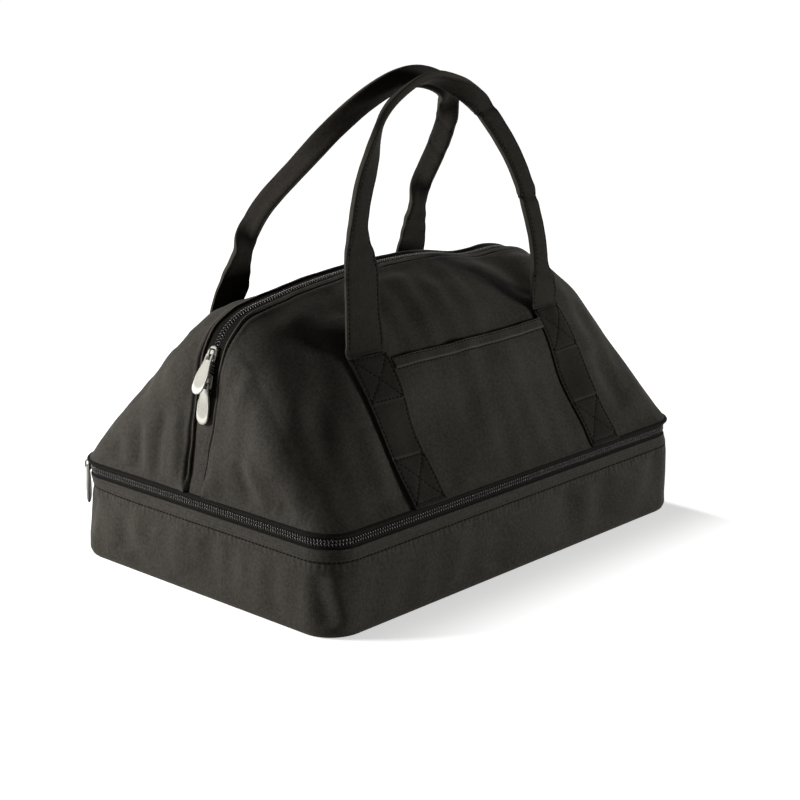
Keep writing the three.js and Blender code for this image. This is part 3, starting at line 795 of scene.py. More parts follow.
class Finishes:
    """All finishes of the carrier, built once."""

    def __init__(self) -> None:
        """Build each material, named for what the real one is."""
        # Piece-dyed polyester: matt, slightly mottled charcoal, painted paler along the panels' rolled edges
        # and with painted highlights along the pocket hem's lips.
        self.cloth = WovenFinish(
            "charcoal_polyester_twill", "#272522", "#43403b", "#5b5851", 1.9, 0.56, 0.1, "#bdb8ae",
            specular=0.014, relief=0.06, mottle=60.0,
        ).build()
        # The same yarn woven closer into webbing: darker and smoother than the cloth beside it, painted paler
        # along its edges and with painted highlight lines at its boxes.
        self.strap = WovenFinish(
            "charcoal_polyester_strap", "#1f1d1a", "#302d29", "#4a463f", 1.6, 0.6, 0.06, "#a8a298",
            specular=0.014, relief=0.035, mottle=40.0, slack=0.3,
        ).build()
        # Narrow woven tape: dull and nearly black, so that a zip reads as a dark line.
        self.tape = WovenFinish(
            "black_polyester_zip_tape", "#121110", "#1e1c1a", "#262421", 0.9, 0.66, 0.1, "#8c8880",
            relief=0.12,
        ).build()
        # Spun thread: darker than the cloth, it reads as small sunk dashes.
        self.thread = WovenFinish(
            "charcoal_sewing_thread", "#0e0d0b", "#191713", "#191713", 0.6, 0.6, 0.06, "#8c8880"
        ).build()
        # Drawn nylon wire: black nylon drawn dark grey as a painted highlight so that its turns show; smooth,
        # with a small bright spot on each turn.
        self.coil = GrainedFinish("black_nylon_coil", "#282521", "#413d37", 0.8, (0.19, 0.33), 0.02).build()
        # Extruded sheet: flat and dark, with a faint pebbled grain.
        self.board = GrainedFinish(
            "black_polypropylene_sheet", "#232322", "#302f2e", 1.4, (0.43, 0.57), 0.08
        ).build()
        # Closed-cell foam: dull white with fine pores.
        self.foam = GrainedFinish(
            "white_polyethylene_foam", "#d9d6cd", "#efece4", 1.8, (0.78, 0.92), 0.3,
            even=(("Specular IOR Level", 0.3), ("IOR", 1.5)),
        ).build()
        # Metallised film: grey and softly mirroring, broken up by its crinkles.
        self.foil = GrainedFinish(
            "aluminised_lining_film", "#7d7e7f", "#a2a2a1", 26.0, (0.5, 0.64), 0.9,
            even=(("Metallic", 0.75),), detail=5.0, strength=0.5, crinkle=5.5,
        ).build()
        # Tumbled plating: satin metal painted darker grey than bare nickel, a painted reflection of darker
        # surroundings; its rims are painted paler than the dish, partly polish and partly painted highlight.
        self.nickel = GrainedFinish(
            "nickel_plated_zinc", "#55544f", "#7c7a74", 2.2, (0.5, 0.66), 0.12,
            even=(("Metallic", 1.0),), detail=6.0, strength=0.5, rim_polish_and_highlight="#8d8b85",
        ).build()
        # Matt paper: plain white, with the object's shadow on it and a painted shadow round its foot.
        self.paper = FloorFinish("white_paper_sweep", "#f4f4f2", 1.0, 0.46, 0.1, (0.2185, 0.1535)).build()


# Shape of the tote


@dataclass(frozen=True)
class ToteShape:
    """Lines and surfaces that all sub-assemblies share, with the sizes of the solid model."""

    half_length: float = 224.5
    half_width: float = 153.5
    corner: float = 30.0
    rim: float = 83.5
    ridge_top: float = 242.5
    ridge_radius: float = 865.0
    shoulder_radius: float = 51.0
    end_lean: float = math.radians(11.9)
    ridge_dips: tuple[Point, ...] = ((3.2, 152.0, 26.0), (-4.2, 96.0, 30.0))  # height, x and width
    strip_half: float = 11.0
    front_bulge: float = 25.0
    corner_bulge: float = 7.0
    end_bulge: float = 3.0
    end_share: float = 0.22
    bulge_lift: float = 1.6
    placket_top: float = 166.0
    waves: Waves = Waves(7, 1.5, 46.0, 130.0)
    creases: Waves = Waves(19, 0.55, 15.0, 38.0, stretch=0.3)
    pucker: Waves = Waves(31, 0.2, 14.0, 34.0)
    top_seam: tuple[Point, ...] = ((1.0, 0.5, 1.3), (-1.2, 2.8, 1.1), (0.6, 6.2, 2.6))  # down from the zip
    folds: dict[Side, tuple[Fold, ...]] = field(default_factory=dict)

    @property
    def plan_knots(self) -> tuple[Array, Array, Array, Array]:
        """Joints of the plan outline, where a straight and a corner meet.

        Returns:
            Runs, corner centres' x and y, and turns.
        """
        x, y = self.half_length - self.corner, self.half_width - self.corner
        arc = self.corner * math.pi / 2.0
        run = np.cumsum([0.0, x, arc, 2 * y, arc, 2 * x, arc, 2 * y, arc, x])
        turn = np.radians([90, 90, 180, 180, 270, 270, 360, 360, 450, 450])
        centre_x = np.array([0, -x, -x, -x, -x, x, x, x, x, 0])
        centre_y = np.array([y, y, y, -y, -y, -y, -y, y, y, y])
        return run, centre_x, centre_y, turn

    def plan(self, run: Array, inset: float = 0.0) -> tuple[Array, Array]:
        """Point on the compartment's outline, from the middle of the back round by the left end.

        The corner's centre and the outward turn change in turns, one along straights and the other
        round corners; the point is the centre plus the corner radius less the inset, that way out.

        Args:
            run: lengths along the outline.
            inset: how far the line is drawn in.

        Returns:
            Points at z = 0 and outward directions, each count by 3.
        """
        knots, x, y, turn = self.plan_knots
        angle = np.interp(run, knots, turn)
        out = np.stack([np.cos(angle), np.sin(angle), np.zeros_like(angle)], -1)
        middle = np.stack([np.interp(run, knots, x), np.interp(run, knots, y), np.zeros_like(angle)], -1)
        return middle + (self.corner - inset) * out, out

    @property
    def plan_length(self) -> float:
        """Whole length of the outline."""
        return float(self.plan_knots[0][-1])

    @property
    def shoulder(self) -> Pair:
        """Centre of the right shoulder's arc, where end line and ridge arc both touch it.

        It lies on the end line moved in by the arc's radius, at the ridge's radius less the arc's
        from the ridge's own centre.

        Returns:
            Its x and z.
        """
        lean, low = self.end_lean, self.ridge_top - self.ridge_radius
        along = np.array([-math.sin(lean), math.cos(lean)])
        start = np.array([self.half_length, self.rim - low])
        start = start - self.shoulder_radius * np.array([math.cos(lean), math.sin(lean)])
        reach = self.ridge_radius - self.shoulder_radius
        rise = math.sqrt((start @ along) ** 2 - start @ start + reach**2) - start @ along
        x, z = start + rise * along
        return float(x), float(z + low)

    @property
    def zip_knots(self) -> tuple[Array, Array, Array, Array, Array]:
        """Joints of the ridge zip's path: end line, shoulder, ridge, shoulder, end line.

        Returns:
            Runs, centres' x and z, radii and turns.
        """
        x, z = self.shoulder
        r, lean = self.shoulder_radius, self.end_lean
        low = self.ridge_top - self.ridge_radius
        arch = math.atan2(x, z - low)
        end = (z - self.rim + r * math.sin(lean)) / math.cos(lean)
        bend = r * (math.pi / 2 - arch - lean)
        ridge = 2.0 * self.ridge_radius * arch
        foot_x, foot_z = self.half_length - r * math.cos(lean), self.rim - r * math.sin(lean)
        left, right = math.pi / 2 + arch, math.pi / 2 - arch
        return (
            np.cumsum([0.0, end, bend, 1e-9, ridge, 1e-9, bend, end]),
            np.array([-foot_x, -x, -x, 0, 0, x, x, foot_x]),
            np.array([foot_z, z, z, low, low, z, z, foot_z]),
            np.array([r, r, r, self.ridge_radius, self.ridge_radius, r, r, r]),
            np.array([math.pi - lean, math.pi - lean, left, left, right, right, lean, lean]),
        )

    def ridge(self, run: Array) -> tuple[Array, Array]:
        """Point on the ridge zip's path in the mid plane, with a slack dip towards the right.

        The point is the joint's centre plus its radius, that way out, and the dips are bells of x.

        Args:
            run: lengths along the path from the left rim.

        Returns:
            Points at y = 0 and outward directions, each count by 3.
        """
        knots, x, z, radius, turn = self.zip_knots
        angle = np.interp(run, knots, turn)
        out = np.stack([np.cos(angle), np.zeros_like(angle), np.sin(angle)], -1)
        middle = np.stack([np.interp(run, knots, x), np.zeros_like(angle), np.interp(run, knots, z)], -1)
        point = middle + np.interp(run, knots, radius)[..., None] * out
        slack = bells(point[..., 0], self.ridge_dips) * ease(point[..., 2], 190.0, 225.0)
        return point + slack[..., None] * UP, out

    @property
    def zip_length(self) -> float:
        """Whole length of the ridge zip's path."""
        return float(self.zip_knots[0][-1])

    @property
    def zip_start(self) -> float:
        """Run at which the placket ends and the zip begins."""
        return (self.placket_top - self.rim) / math.cos(self.end_lean)

    def strip(self, run: Array) -> Array:
        """Half of the strip between the panels: narrower near the rim, and wavering a little.

        Args:
            run: lengths along the ridge zip's path.

        Returns:
            Half widths in the shape of run.
        """
        near = np.minimum(run, self.zip_length - run)
        waver = 0.5 * np.sin(run * 0.11) + 0.35 * np.sin(run * 0.23 + 1.0)
        return self.strip_half - 2.2 * bell(near - 15.0, 22.0) + waver * ease(near, 4.0, 24.0)

    def crease(self, place: tuple[float, float, float, float], width: float, height: float) -> Fold:
        """Fold between two places of the panel, given as shares u, v and u, v."""
        ends = self.face(np.array(place[0::2]), np.array(place[1::2]))
        return Fold(tuple(ends[0]), tuple(ends[1]), width, height)

    def _share(self, u: Array, end: float) -> Array:
        """Share of a path for a share u of the panel, whose ends take end_share of u each."""
        return np.interp(u, [0.0, self.end_share, 1.0 - self.end_share, 1.0], [0.0, end, 1.0 - end, 1.0])

    def line(self, u: Array) -> tuple[Array, Array]:
        """Straight line of the front panel from the rim to the edge of the zip's strip.

        Args:
            u: shares along the panel, from the left placket to the right one.

        Returns:
            Feet on the rim and tops at the zip, each in the shape of u with one more axis.
        """
        runs = self.zip_knots[0]
        run = self._share(u, (runs[1] + runs[2]) / 2.0 / runs[-1]) * runs[-1]
        top, _ = self.ridge(run)
        knots = self.plan_knots[0]
        left = knots[2] + self.half_width - self.corner + self.strip_half
        right = knots[6] + self.half_width - self.corner - self.strip_half
        end = (knots[3] + (knots[4] - knots[3]) / 2.0 - left) / (right - left)
        foot, _ = self.plan(left + self._share(u, end) * (right - left))
        return foot + self.rim * UP, top - self.strip(run)[..., None] * ACROSS

    def face(self, u: Array, v: Array) -> Array:
        """Plain outer face of the front panel.

        A straight line from rim to zip, plus a swell of bulge(u) * sin(pi * v^lift) square to it.

        Args:
            u: shares along the panel.
            v: shares of its height.

        Returns:
            Points, with one more axis.
        """
        step = 1e-3
        foot, top = self.line(u)
        foot_a, top_a = self.line(np.maximum(u - step, 0.0))
        foot_b, top_b = self.line(np.minimum(u + step, 1.0))
        swell = unit(np.cross(top_b + foot_b - top_a - foot_a, top - foot))
        inner = np.minimum(u, 1.0 - u)
        across = np.clip(2.0 * (inner - self.end_share) / (1.0 - 2.0 * self.end_share), 0.0, 1.0)
        middle = self.corner_bulge + (self.front_bulge - self.corner_bulge) * (1.0 - (1.0 - across) ** 4)
        end = self.end_bulge + (self.corner_bulge - self.end_bulge) * inner / self.end_share
        bulge = np.where(inner < self.end_share, end, middle) * np.sin(math.pi * v**self.bulge_lift)
        return foot + (top - foot) * v[..., None] + swell * bulge[..., None]

    def normal(self, u: Array, v: Array) -> Array:
        """Direction out of the plain face, square to its two slopes.

        Args:
            u: shares along the panel.
            v: shares of its height.

        Returns:
            Directions, in the shape of u with one more axis.
        """
        step, margin = 2e-3, 4e-3
        along = self.face(np.minimum(u + step, 1.0 - margin), v) - self.face(np.maximum(u - step, margin), v)
        rise = self.face(u, np.minimum(v + step, 1.0)) - self.face(u, np.maximum(v - step, 0.0))
        return unit(np.cross(along, rise))

    def relief(self, side: Side, u: Array, v: Array, plain: Array) -> Array:
        """How far the loose cloth stands out from the plain face.

        Folds and slow waves fade out at the sewn edges by smooth steps, along the rim the cloth is
        puckered, and along the zip its seam is a row of bells of the distance from the edge.

        Args:
            side: front or back.
            u: shares along the panel.
            v: shares of its height.
            plain: points of the plain face.

        Returns:
            Heights in the shape of u.
        """
        foot, top = self.line(u)
        height = np.linalg.norm(top - foot, axis=-1)
        up, down = v * height, (1.0 - v) * height
        shift = side.value
        folds = fold_relief(plain, self.folds[side]) * ease(up, 0.0, 9.0) * ease(down, 1.0, 16.0)
        waves = self.waves.at(plain, shift) * ease(up, 0.0, 22.0) * ease(down, 1.0, 24.0)
        creases = self.creases.at(plain, shift) * ease(up, 0.0, 12.0) * ease(down, 2.0, 30.0)
        pucker = self.pucker.at(plain, shift) * bell(up - 8.0, 9.0) * ease(up, 0.0, 3.0)
        return folds + waves + creases + pucker + bells(down, self.top_seam) * ease(height, 12.0, 30.0)

    def surface(self, side: Side, u: Array, v: Array, over: Array | float = 0.0) -> Array:
        """Dressed face of a panel: the plain face moved out by its relief, and mirrored for the back.

        Args:
            side: front or back.
            u: shares along the panel.
            v: shares of its height.
            over: height over the cloth.

        Returns:
            Points, with one more axis.
        """
        plain = self.face(u, v)
        points = plain + self.normal(u, v) * (self.relief(side, u, v, plain) + over)[..., None]
        return points * side.mirror

    def out(self, side: Side, u: Array, v: Array) -> Array:
        """Direction out of the panel, mirrored for the back."""
        return self.normal(u, v) * side.mirror

    def seam(self, side: Side, u: Array, v: Array, over: Array | float) -> Patch:
        """Row of stitches along shares of the panel, at a height over its cloth."""
        return SEAM.row(self.surface(side, u, v, over), self.out(side, u, v))

    def find(self, x: Array, z: Array) -> tuple[Array, Array]:
        """Shares u and v at which the plain face passes x and z, by Newton's steps from a rough guess.

        Args:
            x: places along the carrier.
            z: levels.

        Returns:
            Shares u and v.
        """
        u, v = 0.5 + x / 640.0, np.clip((z - self.rim) / 165.0, 0.02, 0.98)
        step = 1e-3
        for _ in range(14):
            here = self.face(u, v)
            du = (self.face(u + step, v) - here) / step
            dv = (self.face(u, v + step) - here) / step
            miss_x, miss_z = x - here[..., 0], z - here[..., 2]
            det = du[..., 0] * dv[..., 2] - dv[..., 0] * du[..., 2]
            u = np.clip(u + (miss_x * dv[..., 2] - dv[..., 0] * miss_z) / det, 0.1, 0.9)
            v = np.clip(v + (du[..., 0] * miss_z - du[..., 2] * miss_x) / det, 0.0, 0.998)
        return u, v


# Sub-assemblies


WALL_FOLDS = (
    Fold((-224, 94, 56), (-224, 86, 14), 10.0, -2.8),
    Fold((-224, 72, 50), (-224, 60, 14), 13.0, 1.8),
    Fold((-221, 134, 54), (-218, 138, 16), 9.0, -1.8),
    Fold((-224, 40, 54), (-224, 12, 14), 20.0, 2.0),
    Fold((-224, -8, 50), (-224, -30, 12), 15.0, -1.6),
    Fold((-224, -62, 50), (-224, -86, 10), 22.0, 1.4),
    Fold((-216, -144, 50), (-205, -152, 4), 8.0, 2.6),
    Fold((-222, -134, 54), (-216, -145, 8), 8.0, -2.2),
    Fold((-120, -153, 52), (-88, -153, 10), 20.0, 1.8),
    Fold((-30, -153, 50), (-46, -153, 12), 16.0, -1.4),
    Fold((70, -153, 50), (34, -153, 10), 20.0, -1.5),
    Fold((150, -153, 50), (138, -153, 12), 16.0, 1.5),
)


@dataclass(frozen=True)
class Slab:
    """Levels of a flat pad, how far its edge is drawn in, and the radius of that edge."""

    bottom: float
    top: float
    inset: float
    edge: float


@dataclass
class DishBase:
    """Insulated dish compartment: cloth wall, underside, foam, foil liner and the zip's lower half."""

    tote: ToteShape
    finishes: Finishes
    underside: Slab = Slab(0.0, 2.0, 1.2, 0.9)
    floor_pad: Slab = Slab(5.1, 10.1, 2.4, 1.6)
    pad_middle: Pair = (4.85, 35.1)  # inset and level of the wall's foam
    fill: float = 0.9
    wall_top: float = 64.0
    seam_level: float = 61.2
    hem_top: float = 71.0
    waves: Waves = Waves(3, 1.0, 40.0, 120.0, stretch=0.7)
    creases: Waves = Waves(23, 0.8, 16.0, 42.0, stretch=0.35)
    pucker: Waves = Waves(5, 0.3, 9.0, 24.0, stretch=0.3)
    seam_relief: tuple[Point, ...] = ((0.35, 2.4, 1.5), (-0.7, 0.0, 0.9))  # up from the sewn line
    gathers: tuple[Point, ...] = ((0.95, 58.4, 2.8), (0.12, 52.0, 4.0))
    liner_top: float = 62.0
    liner_foot: float = 8.0
    liner_waves: Waves = Waves(11, 0.35, 24.0, 90.0)
    floor_level: float = 11.4
    tape_inset: float = 2.8
    tape_thick: float = 0.9
    chain_level: float = 76.5
    chain_half: float = 1.4
    zip_turn: float = math.radians(75.0)
    tape_turn: float = math.radians(89.5)  # past the chain, the tape runs on to the sewn hinge
    steps: int = 560

    def _loop(self) -> Array:
        """Runs once round the outline, without the closing point."""
        return np.linspace(0.0, self.tote.plan_length, self.steps, endpoint=False)

    def zipped(self, turn: float, count: int) -> Array:
        """Runs along the zipped sides, ending round each back corner by an angle."""
        knots, arc = self.tote.plan_knots[0], self.tote.corner * turn
        return np.linspace(knots[2] - arc, knots[7] + arc, count)

    def ringed(self, profile: Array) -> Patch:
        """Closed profile of inset and level, carried once round the outline."""
        line, out = self.tote.plan(self._loop())
        return swept(line, -out, UP, profile, True)

    def _rings(self, rows: Array, inset: float) -> Array:
        """Rings of the outline's shape: each is drawn in, then shrunk to the middle, and set to a level.

        Args:
            rows: factor, further inset and level of each ring, count by 3.
            inset: how far all are drawn in.

        Returns:
            Points, rings by steps by 3.
        """
        line, out = self.tote.plan(self._loop(), inset)
        points = (line[None] - out[None] * rows[:, None, 1:2]) * rows[:, None, :1]
        points[..., 2] = rows[:, 2:3]
        return points

    def slab(self, size: Slab) -> Patch:
        """Flat pad of the outline's shape: rings from its middle, round its edge and back to it.

        Args:
            size: its levels, inset and edge.

        Returns:
            A closed patch with flat surface coordinates.
        """
        shrink = (0.02, 0.5, 0.94)
        rows = [(share, 0.0, size.top) for share in shrink]
        for a in np.linspace(math.pi / 2, -math.pi / 2, 7):
            level = (size.top - size.edge if a > 0 else size.bottom + size.edge) + size.edge * math.sin(a)
            rows.append((1.0, size.edge * (1.0 - math.cos(a)), level))
        rows += [(share, 0.0, size.bottom) for share in shrink[::-1]]
        points = self._rings(np.array(rows), size.inset)
        closed = np.concatenate([points, points[:, :1]], 1)
        return Patch(points, ring_columns=True, cap=True, uv=closed[..., :2])

    def _wall_profile(self) -> tuple[Array, Array]:
        """Section of the wall: turned-in lower edge, side, rolled hem and a tail inside.

        Returns:
            Outward place and level of its points, count by 2, and which of them are free to swell.
        """
        low = np.array([[-7.0, 0.35], [-3.5, 0.25], [-1.3, 0.4], [-0.4, 1.1], [-0.1, 2.6]])
        level = np.concatenate([np.linspace(5.0, 56.0, 34), np.linspace(57.0, self.hem_top - 0.6, 24)])
        side = np.stack([-1.7 * ease(level, 62.0, 73.0), level], -1)
        angle = np.linspace(0.0, math.pi, 9)
        roll = side[-1] + 0.5 * np.stack([np.cos(angle) - 1.0, np.sin(angle)], -1)
        inner = np.array([[-2.8, 66.0], [-2.8, 58.0]])
        held = np.zeros(len(roll) + len(inner))
        free = np.concatenate([[0.0, 0.0, 0.0, 1.0, 1.0], np.ones(len(side)), held])
        return np.concatenate([low, side, roll, inner]), free

    def _wall(self) -> Patch:
        """Outer wall: from its turned-in lower edge, up a softly filled side, to a hem under the zip.

        Along the zipped sides it reaches up to the zip tape, and behind the hinge it ends lower: the
        part above the sewn line is stretched by a smooth step along the outline. The side stands out
        by a sine of its height share, and small gathers run down from the sewn line.

        Returns:
            A patch that is closed round the outline.
        """
        run = self._loop()
        profile, free = self._wall_profile()
        line, out = self.tote.plan(run)
        ends = self.zipped(self.tape_turn, 2)
        reach = ease(np.minimum(run - ends[0], ends[1] - run), -14.0, 0.0)[:, None]
        height = self.wall_top - self.seam_level + (self.hem_top - self.wall_top) * reach
        stretch = height / (self.hem_top - self.seam_level)
        points = line[:, None] + out[:, None] * profile[None, :, :1]
        above = np.maximum(profile[:, 1] - self.seam_level, 0.0)
        points[..., 2] = np.minimum(profile[:, 1], self.seam_level) + above * stretch
        z = points[..., 2]
        free = free * ease(z, 0.5, 6.0)
        share = np.clip(z / self.wall_top, 0.0, 1.0)
        swell = 1.3 * np.sin(math.pi * share) ** 0.8 + 1.4 * (1.0 - share)
        waves = self.waves.at(points) + self.creases.at(points) + fold_relief(points, WALL_FOLDS)
        waves = waves * ease(z, 1.0, 16.0) * ease(self.seam_level - z, 0.0, 12.0)
        pucker = self.pucker.at(points) * bell(z - 57.0, 4.0)
        relief = (swell + waves + pucker + bells(z - self.seam_level, self.seam_relief)) * free
        relief = relief + self._tuck(points) * ease(z, 2.0, 56.0) * (1.0 - ease(z, 60.0, 72.0))
        points = points + out[:, None] * relief[..., None]
        return Patch(points, ring_rows=True, drawn=bells(z, self.gathers) * free)

    def _tuck(self, points: Array) -> Array:
        """How far the seam is drawn in round the back left corner: a bell of the distance in plan."""
        corner = np.array([-self.tote.half_length, self.tote.half_width - 6.0])
        return -4.3 * bell(np.linalg.norm(points[..., :2] - corner, axis=-1), 38.0)

    def _wall_pad(self) -> Patch:
        """Foam in the wall: a rounded section carried round, whose outer face follows the tuck.

        Returns:
            A closed ring.
        """
        ring = rounded_ring(2.4, 24.5, 0.4, 20) + np.array(self.pad_middle)
        filling = self.ringed(ring)
        outer = np.clip((self.pad_middle[0] - ring[:, 0]) / 2.4, 0.0, 1.0)
        outer = outer * self._tuck(filling.points)
        out = self.tote.plan(self._loop())[1]
        filling.points = filling.points + out[None, :, None] * outer[..., None]
        return filling

    def _liner(self) -> Patch:
        """Foil tub: floor, rounded foot, inner wall, rolled top and outer wall, with loose film inside.

        The rings shrink to the middle on the floor and below it, and the film stands in from the wall
        and up from the floor by the size of seeded waves.

        Returns:
            A closed patch.
        """
        floor, top, foot = self.floor_level, self.liner_top, self.liner_foot
        rows = [(share, foot + 1.0, floor) for share in np.linspace(0.03, 0.97, 22)]
        for a in np.linspace(0.0, math.pi / 2, 7):
            rows.append((1.0, foot * (1.0 - math.sin(a)), floor + foot * (1.0 - math.cos(a))))
        rows += [(1.0, 0.0, z) for z in np.linspace(floor + foot + 1.0, top - 0.6, 20)]
        inner = len(rows)
        rows += [(1.0, -0.3, top), (1.0, -0.7, top), (1.0, -0.95, top - 0.6)]
        rows += [(1.0, -0.95, top - 20.0), (1.0, -0.9, floor + 4.0), (1.0, 6.0, floor - 0.8)]
        rows += [(0.5, 6.0, floor - 0.8), (0.03, 6.0, floor - 0.8)]
        rows = np.array(rows)
        points = self._rings(rows, 8.6)
        inside = (np.arange(len(rows)) < inner)[:, None]
        loose = np.abs(self.liner_waves.at(points) * inside)
        wall = (rows[:, 2] > floor + foot + 1.0)[:, None] * ease(top - points[..., 2], 0.0, 12.0)
        _, out = self.tote.plan(self._loop(), 8.6)
        points = points - out[None] * (loose * wall)[..., None]
        points[..., 2] += loose * (rows[:, 0] < 1.0)[:, None]
        return Patch(points, ring_columns=True, cap=True)

    def band(self, levels: Pair, turn: float) -> Patch:
        """Zip tape on edge along the zipped sides: a rounded strip between two levels.

        Args:
            levels: its lower and its upper edge.
            turn: how far it runs round each back corner.

        Returns:
            A capped strip.
        """
        low, high = levels
        line, out = self.tote.plan(self.zipped(turn, 420), self.tape_inset + 0.15)
        half = self.tape_thick / 2.0
        ring = rounded_ring(half, (high - low) / 2.0, 0.3, 20) + np.array([half, (high + low) / 2.0])
        return swept(line, -out, UP, ring)

    def chain(self, level: float, turn: float, phase: float) -> Patch:
        """One half of the zip's coil along the zipped sides.

        Args:
            level: its level.
            turn: how far it runs round each back corner.
            phase: shift along the zip, by which the two halves mesh.

        Returns:
            A capped wire.
        """
        line, out = self.tote.plan(self.zipped(turn, 900) + phase, self.tape_inset + 0.5)
        return BASE_COIL.wind(line + UP * level, UP, out)

    def _seam(self) -> Patch:
        """Stitches along the sewn line, drawn in where the wall is.

        Returns:
            A stack of stitches.
        """
        line, out = self.tote.plan(np.linspace(0.0, self.tote.plan_length, 900))
        over = (0.15 + self._tuck(line))[:, None]
        return SEAM.row(line + self.seam_level * UP + out * over, out)

    def build(self) -> None:
        """Make and dress all pieces of the compartment."""
        f, base = self.finishes, Body.BASE
        underside, floor_pad = self.slab(self.underside), self.slab(self.floor_pad)
        make_piece("base_underside_cloth", [underside], f.cloth, base, ["base_bottom_panel"])
        make_piece("base_wall_cloth", [self._wall()], f.cloth, base, ["base_wall"])
        pad = make_piece("base_floor_pad", [floor_pad], f.foam, base, ["base_floor_foam"])
        filling = self._wall_pad()
        wall_pad = make_piece("base_wall_pad", [filling], f.foam, base, ["base_wall_foam"])
        make_piece("base_liner_foil", [self._liner()], f.foil, base, ["base_liner"])
        binding = self.ringed(rounded_ring(0.9, 3.0, 0.5, 14) + np.array([8.1, 60.6]))
        make_piece("base_liner_binding", [binding], f.tape, base)
        tape = self.band((68.0, 74.2), self.tape_turn)
        make_piece("base_zip_tape_woven", [tape], f.tape, base, ["base_zip_tape"])
        chain = self.chain(self.chain_level - self.chain_half, self.zip_turn, 0.0)
        make_piece("base_zip_coil_wire", [chain], f.coil, base, ["base_zip_coil"])
        make_piece("base_seam_stitches", [self._seam()], f.thread, base)


@dataclass
class LidFloor:
    """Underside of the tote: the zip's upper half, the sewn hinge, rim piping and padded divider."""

    tote: ToteShape
    finishes: Finishes
    base: DishBase
    hinge_thick: float = 0.9
    lining: Slab = Slab(83.7, 84.7, 3.4, 0.4)
    pad: Slab = Slab(84.9, 88.9, 9.6, 1.4)
    fill: float = 0.9

    def _hinge(self) -> Patch:
        """Cloth hinge along the back: a thin strip from behind the wall to the rim, in a slack S.

        Returns:
            A capped strip.
        """
        x = np.linspace(-194.5, 194.5, 160)
        path = np.stack([x, np.full_like(x, 150.2), np.full_like(x, 71.8)], -1)
        share = np.linspace(0.0, 1.0, 24)
        sag = 0.5 * np.sin(FULL_TURN * share) + self.hinge_thick / 2.0
        face = np.stack([sag, 23.0 * (share - 0.5)], -1)
        return swept(path, ACROSS, UP, thin_section(face, (-self.hinge_thick, 0.0)))

    def build(self) -> None:
        """Make and dress all pieces of the lid's underside."""
        f, lid, base = self.finishes, Body.LID, self.base
        tape = base.band((78.8, 83.3), math.radians(88.0))
        make_piece("lid_zip_tape_woven", [tape], f.tape, lid, ["lid_zip_tape"])
        chain = base.chain(base.chain_level + base.chain_half, math.radians(36.0), 1.35)
        make_piece("lid_zip_coil_wire", [chain], f.coil, lid, ["lid_zip_coil"])
        cord = base.ringed(rounded_ring(1.7, 1.7, 1.0, 12) + np.array([0.5, 83.4]))
        make_piece("rim_piping", [cord], f.tape, lid)
        bend = Bend(Body.BASE, lid, (0.0, 150.7, 71.5), (0.0, 150.7, 82.1))
        strips = ["hinge_strip_lower", "hinge_strip_upper"]
        make_piece("hinge_cloth", [self._hinge()], f.cloth, bend, strips)
        make_piece("divider_foil", [base.slab(self.lining)], f.foil, lid, ["divider_lining"])
        pad = make_piece("divider_pad", [base.slab(self.pad)], f.foam, lid, ["divider_foam"])


